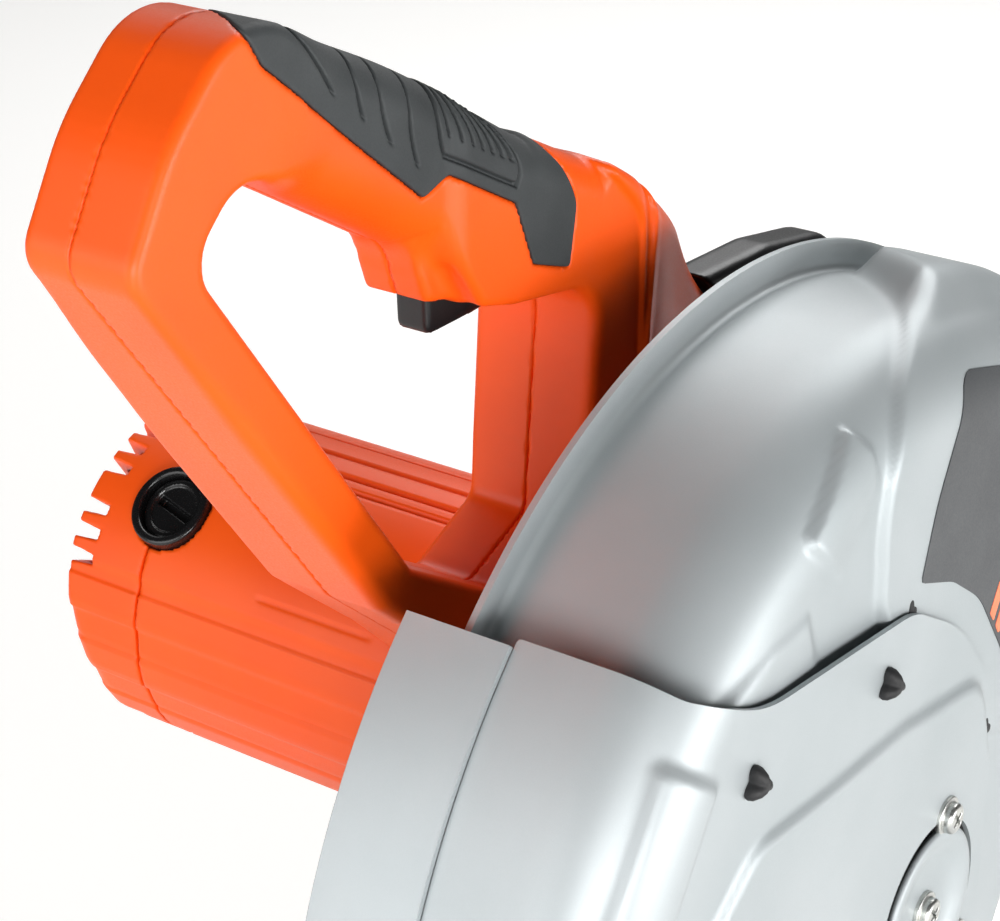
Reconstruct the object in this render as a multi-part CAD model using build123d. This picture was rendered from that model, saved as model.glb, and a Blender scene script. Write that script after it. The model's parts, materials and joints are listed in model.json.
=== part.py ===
from build123d import *
import math
import os

# Abrasive cut-off (chop) saw for 355 mm wheels, head raised to its rest stop.
# Row frame, millimetres: +X to the outer side of the wheel, +Y to the rear, +Z up,
# origin on the bench at the middle of the four bench bolts, wheel plane at x = 0.

# ---- driving dimensions -------------------------------------------------
WHEEL_RADIUS = 177.5
WHEEL_THICKNESS = 3.0
WHEEL_BORE = 12.7

FOOT_HEIGHT = 8.0
DECK_TOP = 60.0
SHEET = 3.0
DECK_HALF_X = 110.0
DECK_HALF_Y = 225.0
FLANGE_HALF_X = 140.0
FLANGE_HALF_Y = 240.0
BENCH_BOLT_X = 124.0
BENCH_BOLT_Y = 200.0
BENCH_BOLT_RADIUS = 4.5

PIVOT_Y = 185.0
PIVOT_Z = 165.0
PIVOT_PIN_RADIUS = 9.0
ARM_LENGTH = 260.0
RAISED_ANGLE = 52.9
BRACKET_FOOT = 8.0
STOP_X = -47.0
STOP_Y = 168.0
ARM_LEFT = -62.0
ARM_RIGHT = -32.0
LUG_THICKNESS = 11.0
LUG_RADIUS = 24.0

# Head stations along the spindle, measured from the wheel plane.
GUARD_BACK = -25.0
GUARD_FACE = 40.0
GUARD_SHEET = 2.0
GUARD_DRUM_RADIUS = 183.0
GUARD_FLANGE_RADIUS = 192.4
GUARD_ROUNDING = 26.0
GUARD_FROM = -20.0
GUARD_TO = 170.0

LOWER_FACE = 45.0
LOWER_SHEET = 1.6
LOWER_RADIUS = 196.0
LOWER_ROUNDING = 25.0
BAND_RADIUS = 198.0
BAND_SHEET = 1.5
BAND_LEFT = -40.0
BAND_RIGHT = -7.3
BAND_FROM = 134.7
BAND_TO = 285.0
HUB_RADIUS = 25.0
HUB_HOLE_RADIUS = 30.0
COVER_RADIUS = 27.4
RING_SCREW_RADIUS = 32.8
RING_SCREW_ANGLES = (79.0, 199.0, 319.0)

CASE_LEFT = -65.0
CASE_RIGHT = -27.0
CASE_JOINT = -55.0
CASE_MOTOR_END = 61.0
CASE_SPINDLE_END = 44.0
MOTOR_Y = 0.5
MOTOR_Z = 32.6
MOTOR_RADIUS = 58.0
MOTOR_BORE = 52.0
MOTOR_SEAM = -220.0
MOTOR_END = -250.0
BRUSH_X = -213.0
BRUSH_ANGLE = 131.5
BRUSH_SEAT = 14.5
MOTOR_SHAFT_RADIUS = 6.0
PINION_TEETH = 10
GEAR_TEETH = 33
GEAR_MODULE = 2.0 * MOTOR_Z / (PINION_TEETH + GEAR_TEETH)
SPINDLE_RADIUS = 10.0
RUNNING_CLEARANCE = 0.05
FLANGE_RADIUS = 38.0
LOCK_X = -46.0
LOCK_Z = -12.0
LOCK_RADIUS = 4.0
LOCK_TIP = -30.0
LOCK_TRAVEL = 5.0

HANDLE_X = -85.0
HANDLE_HALF_WIDTH = 20.0
HANDLE_WALL = 4.5
HANDLE_EDGE = 6.0
HANDLE_CORNER = 12.0
SKIN = 2.5
DOME_STEPS = ((25.0, 2.0, 1.0), (31.0, 7.0, 6.0))
DOME_BOTTOM = 113.0
TRIGGER_HALF_WIDTH = 8.0

VISE_X = -66.0
VISE_Z = 88.0
JAW_FACE = -60.0
SCREW_RADIUS = 8.0
SCREW_END = -332.0
LEVER_Y = -206.0
LEVER_Z = VISE_Z + 16.0
FENCE_FACE = 30.0
FENCE_WALL = 7.0
FENCE_HEIGHT = 52.0
FENCE_REAR = 84.0
FENCE_PIVOT = (-35.0, 66.0)
FENCE_CLAMP = 36.0
DEFLECTOR_Y = 118.0
DEFLECTOR_Z = DECK_TOP + 9.0

# The raised spindle, worked out from the arm.
SPINDLE_Y = PIVOT_Y - ARM_LENGTH * math.cos(math.radians(RAISED_ANGLE))
SPINDLE_Z = PIVOT_Z + ARM_LENGTH * math.sin(math.radians(RAISED_ANGLE))
# The arm pivot as seen from the spindle.
PIVOT_DY = PIVOT_Y - SPINDLE_Y
PIVOT_DZ = PIVOT_Z - SPINDLE_Z

parts = {}


# ---- shape helpers ------------------------------------------------------
def box(x0, x1, y0, y1, z0, z1):
    """Block between two corners."""
    middle = Location(((x0 + x1) / 2, (y0 + y1) / 2, (z0 + z1) / 2))
    return middle * Box(x1 - x0, y1 - y0, z1 - z0)


def rod(x0, x1, radius, y=0.0, z=0.0):
    """Round bar along X."""
    return Location(((x0 + x1) / 2, y, z), (0, 90, 0)) * Cylinder(radius, x1 - x0)


def tube(x0, x1, outer, inner, y=0.0, z=0.0):
    """Round sleeve along X."""
    return rod(x0, x1, outer, y, z) - rod(x0 - 1, x1 + 1, inner, y, z)


def rod_y(y0, y1, radius, x, z):
    """Round bar along Y."""
    return Location((x, (y0 + y1) / 2, z), (90, 0, 0)) * Cylinder(radius, y1 - y0)


def rod_z(z0, z1, radius, x, y):
    """Round bar along Z."""
    return Location((x, y, (z0 + z1) / 2)) * Cylinder(radius, z1 - z0)


def polar(radius, degrees):
    """Point (y, z) at a radius and an angle from +Y towards +Z."""
    angle = math.radians(degrees)
    return radius * math.cos(angle), radius * math.sin(angle)


SIDE = Plane(origin=(0, 0, 0), x_dir=(0, 1, 0), z_dir=(1, 0, 0))


def slab(outline, x0, x1):
    """Side-view face (y, z) pulled out between two stations."""
    return extrude(SIDE.offset(x0) * outline, amount=x1 - x0, dir=(1, 0, 0))


def polygon(points):
    """Closed straight-sided side-view face."""
    return make_face(Polyline(*points, close=True))


def rounded(points, radius):
    """Closed side-view face with every corner rounded alike."""
    face = polygon(points)
    return fillet(face.vertices(), radius)


def turned(profile, start=0.0, sweep=360.0):
    """Outline of (x, radius) points turned about the spindle axis."""
    face = make_face(Polyline(*profile, close=True))
    return revolve(Rot(start, 0, 0) * face, Axis.X, sweep)


def link(radius_a, centre_a, radius_b, centre_b):
    """Side-view face of two discs and the tangent web between them."""
    discs = Pos(*centre_a) * Circle(radius_a) + Pos(*centre_b) * Circle(radius_b)
    return make_hull(discs.edges())


def hexagon_bar(x0, x1, across_flats, y=0.0, z=0.0):
    """Hexagonal bar along X."""
    outline = Pos(y, z) * RegularPolygon(across_flats / 2, 6, major_radius=False)
    return slab(outline, x0, x1)


def pan_screw(x, y, z, head, shank, depth, washer):
    """Pan-head screw along X with its spring and flat washers; x is the seat."""
    flat = tube(x, x + 1.2, washer, shank, y, z)
    spring = tube(x + 1.2, x + 2.4, head * 0.98, shank, y, z)
    cap = rod(x + 2.4, x + 5.6, head, y, z)
    cap = fillet(cap.edges().filter_by(GeomType.CIRCLE).sort_by(Axis.X)[-1], 1.8)
    for turn in (0, 90):
        slot = Location((x + 5.4, y, z), (turn, 0, 0)) * Box(2.4, head * 1.1, 1.0)
        cap = cap - slot
    return [flat, spring, cap + rod(x - depth, x + 2.4, shank, y, z)]


def guard_section(back, face, radius, rounding, sheet):
    """Section of a dished guard: drum, quarter-round shoulder and flat face."""
    steps = 8
    outer = [(back, radius)]
    inner = [(back, radius - sheet)]
    for index in range(steps + 1):
        angle = math.radians(90 - 90 * index / steps)
        cosine, sine = math.cos(angle), math.sin(angle)
        outer.append((face - rounding + rounding * cosine, radius - rounding + rounding * sine))
        small = rounding - sheet
        inner.append((face - rounding + small * cosine, radius - rounding + small * sine))
    outer.append((face, 0.0))
    inner.append((face - sheet, 0.0))
    return outer + inner[::-1]


def on_head(name, *solids):
    """Keep head solids, given about the raised spindle."""
    place = Location((0, SPINDLE_Y, SPINDLE_Z))
    parts[name] = [solid.moved(place) for solid in solids]


def on_base(name, *solids):
    """Keep base solids, given in the row frame."""
    parts[name] = list(solids)


# ---- base ---------------------------------------------------------------
def make_base():
    """Pressed deck with skirts, turned-out flange, wheel slot and bolt holes."""
    skirt_bottom = FOOT_HEIGHT + SHEET
    outer = box(-DECK_HALF_X, DECK_HALF_X, -DECK_HALF_Y, DECK_HALF_Y, FOOT_HEIGHT, DECK_TOP)
    outer = fillet(outer.edges().filter_by(Axis.Z), 14)
    outer = fillet(outer.edges().group_by(Axis.Z)[-1], 5)
    inner = box(-DECK_HALF_X + SHEET, DECK_HALF_X - SHEET, -DECK_HALF_Y + SHEET,
                DECK_HALF_Y - SHEET, FOOT_HEIGHT - 1, DECK_TOP - SHEET)
    inner = fillet(inner.edges().filter_by(Axis.Z), 11)
    flange = box(-FLANGE_HALF_X, FLANGE_HALF_X, -FLANGE_HALF_Y, FLANGE_HALF_Y,
                 FOOT_HEIGHT, skirt_bottom)
    flange = fillet(flange.edges().filter_by(Axis.Z), 20)
    plate = outer + flange - inner
    plate = plate - box(-6, 6, -122, -12, DECK_TOP - 10, DECK_TOP + 1)
    for x, y in bench_bolts():
        plate = plate - rod_z(0, 20, BENCH_BOLT_RADIUS, x, y)
    for x, y in deck_bolts():
        plate = plate - rod_z(DECK_TOP - 10, DECK_TOP + 1, 4, x, y)
    on_base("base_plate", plate)


def bench_bolts():
    """Places of the four bench bolts."""
    return [(sx * BENCH_BOLT_X, sy * BENCH_BOLT_Y) for sx in (-1, 1) for sy in (-1, 1)]


def bracket_bolts():
    """Places of the pivot bracket's four bolts."""
    return [(x, y) for x in (-84, 14) for y in (160, 210)]


def deck_bolts():
    """Places of every bolt hole in the deck."""
    vise = [(VISE_X - 34, -206), (VISE_X + 34, -206)]
    return bracket_bolts() + vise + [FENCE_PIVOT, (FENCE_PIVOT[0] - FENCE_CLAMP, FENCE_PIVOT[1])]


def make_feet():
    """Rubber pads under the flange, bored for the bench bolts."""
    feet = []
    for x, y in bench_bolts():
        pad = box(x - 14, x + 14, y - 22, y + 22, 0, FOOT_HEIGHT)
        pad = fillet(pad.edges().filter_by(Axis.Z), 6)
        feet.append(pad - rod_z(-1, FOOT_HEIGHT + 1, BENCH_BOLT_RADIUS, x, y))
    on_base("rubber_feet", *feet)


def cap_bolt(x, y, seat):
    """M8 hexagon bolt down into the deck, with a flat washer."""
    head = Location((x, y, seat + 1.6)) * extrude(RegularPolygon(6.5, 6, major_radius=False), 5.5)
    washer = rod_z(seat, seat + 1.6, 8, x, y) - rod_z(seat - 1, seat + 2, 4, x, y)
    return [head + rod_z(DECK_TOP - 12, seat + 1.6, 4, x, y), washer]


def make_deck_bolts():
    """The bolts of the bracket, the vise block and the fence, with washers."""
    places = [(x, y, DECK_TOP + BRACKET_FOOT) for x, y in bracket_bolts()]
    places += [(VISE_X + side, -206, DECK_TOP + 9) for side in (-34, 34)]
    places += [(x, FENCE_PIVOT[1], DECK_TOP + 6.5) for x in (FENCE_PIVOT[0], FENCE_PIVOT[0] - FENCE_CLAMP)]
    bolts = [solid for place in places for solid in cap_bolt(*place)]
    on_base("deck_bolts", *bolts)


def make_bracket():
    """Cast pivot bracket: foot, two lugs, front web and depth-stop boss."""
    left = (ARM_LEFT - 0.5 - LUG_THICKNESS, ARM_LEFT - 0.5)
    right = (-7.5, -7.5 + LUG_THICKNESS)
    foot_top = DECK_TOP + BRACKET_FOOT
    body = box(-94, 24, 148, 222, DECK_TOP, foot_top)
    body = fillet(body.edges().filter_by(Axis.Z), 8)
    side = link(LUG_RADIUS, (PIVOT_Y, PIVOT_Z), 12, (168, foot_top + 4)) + \
        link(LUG_RADIUS, (PIVOT_Y, PIVOT_Z), 12, (204, foot_top + 4))
    side = side & (Pos(185, 150) * Rectangle(120, 2 * (150 - foot_top) + 1))
    for x0, x1 in (left, right):
        body = body + slab(side, x0, x1)
    body = body + box(left[1], right[0], 196, 204, foot_top - 1, 124)
    boss = box(-60, -34, 158, 204, foot_top - 1, 104)
    body = body + boss
    body = body - rod(-90, 20, PIVOT_PIN_RADIUS, PIVOT_Y, PIVOT_Z)
    body = body - rod_z(80, 110, 5, STOP_X, STOP_Y)
    for x, y in bracket_bolts():
        body = body - rod_z(DECK_TOP - 1, foot_top + 1, 4, x, y)
    on_base("pivot_bracket", body)


def make_pivot():
    """Pivot pin with a flat head, its clip, and the raising spring round it."""
    pin = rod(-80, 10, PIVOT_PIN_RADIUS, PIVOT_Y, PIVOT_Z)
    pin = pin + rod(-84, -73.5, 13, PIVOT_Y, PIVOT_Z)
    clip = tube(3.5, 6, 13, PIVOT_PIN_RADIUS, PIVOT_Y, PIVOT_Z)
    on_base("pivot_pin", pin, clip)
    path = Helix(pitch=4.6, height=16, radius=14)
    wire = sweep(Plane(path @ 0, z_dir=path % 0) * Circle(1.8), path=path)
    on_base("raising_spring", Location((-27, PIVOT_Y, PIVOT_Z), (0, 90, 0)) * wire)


def make_depth_stop():
    """Stop bolt under the arm and its lock nut."""
    top = 136.0
    bolt = rod_z(84, top - 6, 5, STOP_X, STOP_Y)
    bolt = bolt + Location((STOP_X, STOP_Y, top - 6)) * extrude(RegularPolygon(8, 6, major_radius=False), 6)
    nut = Location((STOP_X, STOP_Y, 104)) * extrude(RegularPolygon(8, 6, major_radius=False), 8)
    on_base("depth_stop", bolt, nut - rod_z(100, 115, 5, STOP_X, STOP_Y))


def make_fence():
    """Angle fence that swings about its right-hand bolt, left of the wheel."""
    px, py = FENCE_PIVOT
    left, right = -132.0, -10.0
    top = DECK_TOP + 0.3
    foot = box(left, right, FENCE_FACE, FENCE_REAR, top, top + 6)
    wall = box(left, right, FENCE_FACE, FENCE_FACE + FENCE_WALL, top, top + FENCE_HEIGHT)
    fence = foot + wall
    fence = fence - rod_z(DECK_TOP, top + 8, 4.1, px, py)
    # The clamp bolt stays in the deck and the slot swings past it.
    slot = None
    for step in range(13):
        angle = math.radians(2.6 * step)
        spot = rod_z(DECK_TOP, top + 8, 4.6, px - FENCE_CLAMP * math.cos(angle),
                     py - FENCE_CLAMP * math.sin(angle))
        slot = spot if slot is None else slot + spot
    fence = fence - slot
    web = polygon([(FENCE_FACE + 6, top + 5), (FENCE_FACE + 6, top + 40), (FENCE_REAR - 6, top + 5)])
    for x in (left, -98.0, right - 6):
        fence = fence + slab(web, x, x + 6)
    on_base("fence", fence)


# ---- vise ---------------------------------------------------------------
def make_vise():
    """Quick-release vise: block, screw, crank, jaw and release lever."""
    foot = box(VISE_X - 42, VISE_X + 42, -217, -195, DECK_TOP, DECK_TOP + 9)
    tower = box(VISE_X - 20, VISE_X + 20, -222, -190, DECK_TOP, VISE_Z + 22)
    block = fillet(foot.edges().filter_by(Axis.Z), 4) + fillet(tower.edges().filter_by(Axis.Z), 3)
    block = block - box(VISE_X - 12.5, VISE_X + 12.5, -223, -189, VISE_Z + 9.2, VISE_Z + 23)
    block = block - rod_y(-230, -180, SCREW_RADIUS + 0.1, VISE_X, VISE_Z)
    block = block - rod(VISE_X - 25, VISE_X + 25, 3, LEVER_Y, LEVER_Z)
    for side in (-34, 34):
        block = block - rod_z(DECK_TOP - 1, DECK_TOP + 12, 4, VISE_X + side, -206)
    on_base("vise_block", block)

    screw = rod_y(SCREW_END, -84, SCREW_RADIUS, VISE_X, VISE_Z)
    for index in range(36):
        y = -300 + index * 5.0
        groove = rod_y(y, y + 2, SCREW_RADIUS + 1, VISE_X, VISE_Z) - \
            rod_y(y - 1, y + 3, SCREW_RADIUS - 1.1, VISE_X, VISE_Z)
        screw = screw - groove
    on_base("vise_screw", screw + rod_y(-84, -77, 6, VISE_X, VISE_Z))

    hub_end = SCREW_END - 12
    crank = rod_y(hub_end, SCREW_END + 6, 12, VISE_X, VISE_Z)
    arm = box(VISE_X, VISE_X + 52, hub_end, hub_end + 8, VISE_Z - 8, VISE_Z + 8)
    arm = fillet(arm.edges().filter_by(Axis.Y), 6)
    crank = crank + arm - rod_y(SCREW_END, SCREW_END + 10, SCREW_RADIUS, VISE_X, VISE_Z)
    crank = crank + rod_y(hub_end - 36, hub_end + 1, 4, VISE_X + 42, VISE_Z)
    on_base("vise_crank", crank)
    knob = rod_y(hub_end - 34, hub_end - 1, 10, VISE_X + 42, VISE_Z)
    knob = fillet(knob.edges().filter_by(GeomType.CIRCLE), 4)
    knob = knob - rod_y(hub_end - 40, hub_end, 4 + RUNNING_CLEARANCE, VISE_X + 42, VISE_Z)
    on_base("crank_knob", knob)

    jaw = box(VISE_X - 38, VISE_X + 38, JAW_FACE - 10, JAW_FACE, DECK_TOP + 0.5, DECK_TOP + 53)
    jaw = fillet(jaw.edges().filter_by(Axis.Y), 4)
    socket = rod_y(JAW_FACE - 26, JAW_FACE - 9, 14, VISE_X, VISE_Z)
    jaw = jaw + socket + box(VISE_X - 3, VISE_X + 3, JAW_FACE - 24, JAW_FACE - 9,
                             DECK_TOP + 0.5, DECK_TOP + 50)
    jaw = jaw - rod_y(-87, -76.5, 6 + RUNNING_CLEARANCE, VISE_X, VISE_Z)
    jaw = jaw - rod_y(-90, -83.5, SCREW_RADIUS + 0.1, VISE_X, VISE_Z)
    on_base("vise_jaw", jaw)

    lever = rod(VISE_X - 12, VISE_X + 12, 6.5, LEVER_Y, LEVER_Z)
    lever = lever + box(VISE_X - 10, VISE_X + 10, LEVER_Y - 46, LEVER_Y, LEVER_Z + 1, LEVER_Z + 6)
    lever = lever - rod(VISE_X - 20, VISE_X + 20, 3 + RUNNING_CLEARANCE, LEVER_Y, LEVER_Z)
    on_base("release_lever", lever)


def make_spark_deflector():
    """Tilting spark plate behind the cut and its two hinge blocks."""
    y, z = DEFLECTOR_Y, DEFLECTOR_Z
    plate = rod(-45, 45, 5, y, z) + box(-45, 45, y - 1.5, y + 1.5, z, z + 52)
    plate = plate - rod(-50, 50, 2.5 + RUNNING_CLEARANCE, y, z)
    on_base("spark_deflector", plate)
    for x0 in (-56, 46):
        block = box(x0, x0 + 10, y - 8, y + 8, DECK_TOP, z + 8)
        block = block - rod(x0 - 1, x0 + 11, 2.5, y, z)
        parts.setdefault("deflector_blocks", []).append(block)
    on_base("hinge_pins", rod(-56, 56, 2.5, y, z),
            rod(VISE_X - 20, VISE_X + 20, 3, LEVER_Y, LEVER_Z))


# ---- arm and gear case --------------------------------------------------
def case_outline():
    """Side view of the gear case: motor end, spindle end and handle seat."""
    seat = polygon([(-57, 20), (-57, 62), (-30, 100), (-24, DOME_BOTTOM - 1),
                    (60, DOME_BOTTOM - 1), (60, 20)])
    outline = link(CASE_MOTOR_END, (MOTOR_Y, MOTOR_Z), CASE_SPINDLE_END, (0, 0))
    return outline + seat


def make_arm():
    """Cast arm from the gear case back to the pivot barrel."""
    outline = link(44, (34, -40), LUG_RADIUS, (PIVOT_DY, PIVOT_DZ))
    arm = slab(outline, ARM_LEFT, ARM_RIGHT)
    inner = link(26, (48, -62), 10, (118, -156))
    for x0, x1 in ((ARM_LEFT - 1, ARM_LEFT + 9), (ARM_RIGHT - 9, ARM_RIGHT + 1)):
        arm = arm - slab(inner, x0, x1)
    arm = arm - slab(case_outline(), ARM_LEFT - 1, ARM_RIGHT + 1)
    arm = arm - rod(ARM_LEFT - 1, ARM_RIGHT + 1, PIVOT_PIN_RADIUS + RUNNING_CLEARANCE,
                    PIVOT_DY, PIVOT_DZ)
    on_head("arm", arm)


def make_gear_case():
    """Gear case with its gear pocket, bearing seats and motor shaft hole."""
    case = slab(case_outline(), CASE_LEFT, CASE_RIGHT)
    case = fillet(case.edges().group_by(Axis.X)[-1], 4)
    case = case - rod(CASE_JOINT, -37, 29) - rod(CASE_JOINT, -37, 12, MOTOR_Y, MOTOR_Z)
    case = case - rod(CASE_LEFT - 1, CASE_RIGHT + 1, 16)
    case = case - rod(CASE_LEFT - 1, CASE_JOINT, 14, MOTOR_Y, MOTOR_Z)
    case = case - rod_y(-80, LOCK_TIP + LOCK_TRAVEL + 2, LOCK_RADIUS + RUNNING_CLEARANCE, LOCK_X, LOCK_Z)
    for y, z in plate_bolts():
        case = case - rod(CASE_RIGHT - 10, CASE_RIGHT + 1, 3, y, z)
    on_head("gear_case", case & box(CASE_JOINT, 0, -200, 200, -200, 200))
    on_head("gear_case_cover", case & box(-100, CASE_JOINT, -200, 200, -200, 200))


def make_spindle_lock():
    """Push-in spindle lock pin with its button at the front of the gear case."""
    button = rod_y(-72, -62, 8, LOCK_X, LOCK_Z)
    button = fillet(button.edges().filter_by(GeomType.CIRCLE).sort_by(Axis.Y)[0], 2.5)
    on_head("spindle_lock_button", button + rod_y(-64, LOCK_TIP, LOCK_RADIUS, LOCK_X, LOCK_Z))


def toothed(x0, x1, teeth, bore, y=0.0, z=0.0):
    """Spur gear whose teeth stop at the pitch circle."""
    pitch = GEAR_MODULE * teeth / 2
    wheel = rod(x0, x1, pitch - 0.1, y, z)
    gap = math.pi * GEAR_MODULE / 2
    cutters = []
    for index in range(teeth):
        angle = 360.0 * index / teeth
        cutter = Location((0, y, z), (angle, 0, 0)) * \
            Location(((x0 + x1) / 2, pitch, 0)) * Box(x1 - x0 + 2, 2.2 * GEAR_MODULE, gap * 0.8)
        cutters.append(cutter)
    wheel = wheel.cut(*cutters)
    return wheel - rod(x0 - 1, x1 + 1, bore, y, z)


def make_spindle():
    """Spindle with its gear, flanges, wheel, washer and bolt."""
    spindle = rod(-64, 6, SPINDLE_RADIUS) - rod(-16, 7, 5)
    on_head("spindle", spindle)
    on_head("driven_gear", toothed(-53, -40, GEAR_TEETH, SPINDLE_RADIUS))
    half = WHEEL_THICKNESS / 2
    inner = tube(-8, -half, FLANGE_RADIUS, SPINDLE_RADIUS) + tube(-half - 1, half, WHEEL_BORE, SPINDLE_RADIUS)
    on_head("wheel_flanges", inner, tube(half, 8, FLANGE_RADIUS, SPINDLE_RADIUS))
    on_head("abrasive_wheel", tube(-half, half, WHEEL_RADIUS, WHEEL_BORE))
    on_head("spindle_bolt", hexagon_bar(10, 17, 17) + rod(-14, 10, 5), tube(8, 10, 14, 5))


# ---- motor --------------------------------------------------------------
def brush_place(side):
    """Outward place of a brush holder on the motor wall; side is 0 or 180."""
    return Location((BRUSH_X, MOTOR_Y, MOTOR_Z), (BRUSH_ANGLE - 90 + side, 0, 0))


def make_motor_housing():
    """Motor housing with cooling ribs, and the slotted end cap."""
    housing = rod(MOTOR_SEAM, CASE_LEFT, MOTOR_RADIUS, MOTOR_Y, MOTOR_Z)
    for index in range(9):
        angle = 52 + 9 * index
        y, z = polar(MOTOR_RADIUS, angle if angle < 80 else angle + 130)
        rib = rod(MOTOR_SEAM + 8, CASE_LEFT - 6, 2.0, MOTOR_Y + y, MOTOR_Z + z)
        housing = housing + rib
    housing = housing - rod(MOTOR_SEAM - 1, CASE_LEFT + 1, MOTOR_BORE, MOTOR_Y, MOTOR_Z)
    cap = rod(MOTOR_END, MOTOR_SEAM, MOTOR_RADIUS, MOTOR_Y, MOTOR_Z)
    cap = fillet(cap.edges().filter_by(GeomType.CIRCLE).sort_by(Axis.X)[0], 7)
    cap = cap - rod(MOTOR_END + 4, MOTOR_SEAM + 1, MOTOR_BORE, MOTOR_Y, MOTOR_Z)
    cap = cap + tube(MOTOR_END + 3, MOTOR_END + 14, 15, 11, MOTOR_Y, MOTOR_Z)
    slots = []
    for index in range(28):
        turn = Location((0, MOTOR_Y, MOTOR_Z), (360.0 * index / 28, 0, 0))
        slots.append(turn * box(MOTOR_END - 1, MOTOR_END + 12, 44, 64, -2.4, 2.4))
    cap = cap.cut(*slots)
    for side in (0, 180):
        hole = brush_place(side) * Location((0, 0, 50)) * Cylinder(BRUSH_SEAT, 40)
        housing = housing - hole
        cap = cap - hole
    bolts = []
    for side in (0, 180):
        y, z = polar(36, BRUSH_ANGLE - 90 + side)
        spot = (MOTOR_Y + y, MOTOR_Z + z)
        cap = cap - rod(MOTOR_END - 1, MOTOR_END + 10, 2.5, *spot)
        bolts.append(rod(MOTOR_END - 2.5, MOTOR_END, 4.5, *spot) + rod(MOTOR_END, -172, 2.5, *spot))
    on_head("motor_housing", housing)
    on_head("motor_end_cap", cap)
    on_head("end_cap_screws", *bolts)


def make_brushes():
    """Brush holders with bezels, slotted caps and carbon brushes, two of each."""
    holders, caps, carbons = [], [], []
    for side in (0, 180):
        place = brush_place(side)
        bezel = Location((0, 0, 53.5)) * Cylinder(BRUSH_SEAT, 14)
        bezel = fillet(bezel.edges().group_by(Axis.Z)[-1], 1.5)
        stem = Location((0, 0, 35)) * Cylinder(7.5, 26)
        bore = Location((0, 0, 40)) * Box(8, 6.4, 60)
        seat = Location((0, 0, 57)) * Cylinder(11, 10)
        holders.append(place * (bezel + stem - bore - seat))
        cap = Location((0, 0, 54.5)) * Cylinder(11, 5)
        cap = cap - Location((0, 0, 57)) * Box(16, 3, 3)
        caps.append(place * cap)
        carbons.append(place * Location((0, 0, 27.5)) * Box(8, 6.4, 19.4))
    on_head("brush_holders", *holders)
    on_head("brush_caps", *caps)
    on_head("carbon_brushes", *carbons)


def make_motor_inside():
    """Stator, armature, commutator, fan, bearings and pinion."""
    y, z = MOTOR_Y, MOTOR_Z
    stator = tube(-172, -98, MOTOR_BORE, 30, y, z)
    on_head("field_stator", stator)
    shaft = rod(-245, -54, MOTOR_SHAFT_RADIUS, y, z) + rod(-54, -39, MOTOR_SHAFT_RADIUS - 1.5, y, z)
    core = rod(-170, -100, 29, y, z)
    grooves = []
    for index in range(12):
        turn = Location((0, y, z), (30.0 * index, 0, 0))
        grooves.append(turn * box(-171, -99, 24, 30, -2, 2))
    on_head("armature", core.cut(*grooves) + shaft)
    commutator = tube(-228, -198, 17, MOTOR_SHAFT_RADIUS, y, z)
    on_head("commutator", commutator)
    fan = tube(-92, -90, 46, MOTOR_SHAFT_RADIUS, y, z) + tube(-92, -76, 12, MOTOR_SHAFT_RADIUS, y, z)
    for index in range(10):
        turn = Location((0, y, z), (36.0 * index, 0, 0))
        fan = fan + turn * box(-91, -76, 11, 46, -1.2, 1.2)
    on_head("cooling_fan", fan)
    bore = MOTOR_SHAFT_RADIUS + RUNNING_CLEARANCE
    seat = SPINDLE_RADIUS + RUNNING_CLEARANCE
    on_head("bearings", tube(-64, -55, 14, bore, y, z), tube(-246, -237, 11, bore, y, z),
            tube(-64, -55, 16, seat), tube(-37, -28, 16, seat))
    on_head("motor_pinion", toothed(-53, -40, PINION_TEETH, MOTOR_SHAFT_RADIUS - 1.5, y, z))


# ---- guards -------------------------------------------------------------
def make_upper_guard():
    """Fixed guard: dished half drum with turned-out flange, back plate and hub."""
    section = guard_section(GUARD_BACK, GUARD_FACE, GUARD_DRUM_RADIUS, GUARD_ROUNDING, GUARD_SHEET)
    sweep_angle = GUARD_TO - GUARD_FROM
    guard = turned(section, GUARD_FROM, sweep_angle)
    guard = guard + rod(GUARD_FACE - GUARD_SHEET, GUARD_FACE, 52)
    lip = [(GUARD_BACK, GUARD_DRUM_RADIUS - GUARD_SHEET), (GUARD_BACK, GUARD_FLANGE_RADIUS),
           (GUARD_BACK + GUARD_SHEET, GUARD_FLANGE_RADIUS),
           (GUARD_BACK + GUARD_SHEET, GUARD_DRUM_RADIUS - GUARD_SHEET)]
    guard = guard + turned(lip, GUARD_FROM, sweep_angle)
    guard = guard - rod(GUARD_FACE - 5, GUARD_FACE + 1, 2.5)
    on_head("upper_guard", guard)

    back_profile = [(CASE_RIGHT, 0), (CASE_RIGHT, 189), (GUARD_BACK, 189), (GUARD_BACK, 0)]
    back = turned(back_profile, GUARD_FROM, sweep_angle) + rod(CASE_RIGHT, GUARD_BACK, 58)
    back = back - rod(CASE_RIGHT - 1, GUARD_BACK + 1, 17)
    for y, z in plate_bolts():
        back = back - rod(CASE_RIGHT - 1, GUARD_BACK + 1, 3, y, z)
    on_head("guard_back_plate", back)
    bolts = [hexagon_bar(GUARD_BACK, GUARD_BACK + 4, 10, y, z)
             + rod(CASE_RIGHT - 9, GUARD_BACK, 3, y, z) for y, z in plate_bolts()]
    on_head("back_plate_bolts", *bolts)

    hub = tube(GUARD_FACE, LOWER_FACE, HUB_RADIUS, 20) + tube(GUARD_FACE, LOWER_FACE, 6, 2.5)
    hub = hub + tube(GUARD_FACE, GUARD_FACE + 1, 21, 5)
    on_head("guard_hub", hub)


def plate_bolts():
    """Places (y, z) of the bolts through the back plate."""
    return [polar(40, angle) for angle in (45, 135, 225, 315)]


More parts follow.
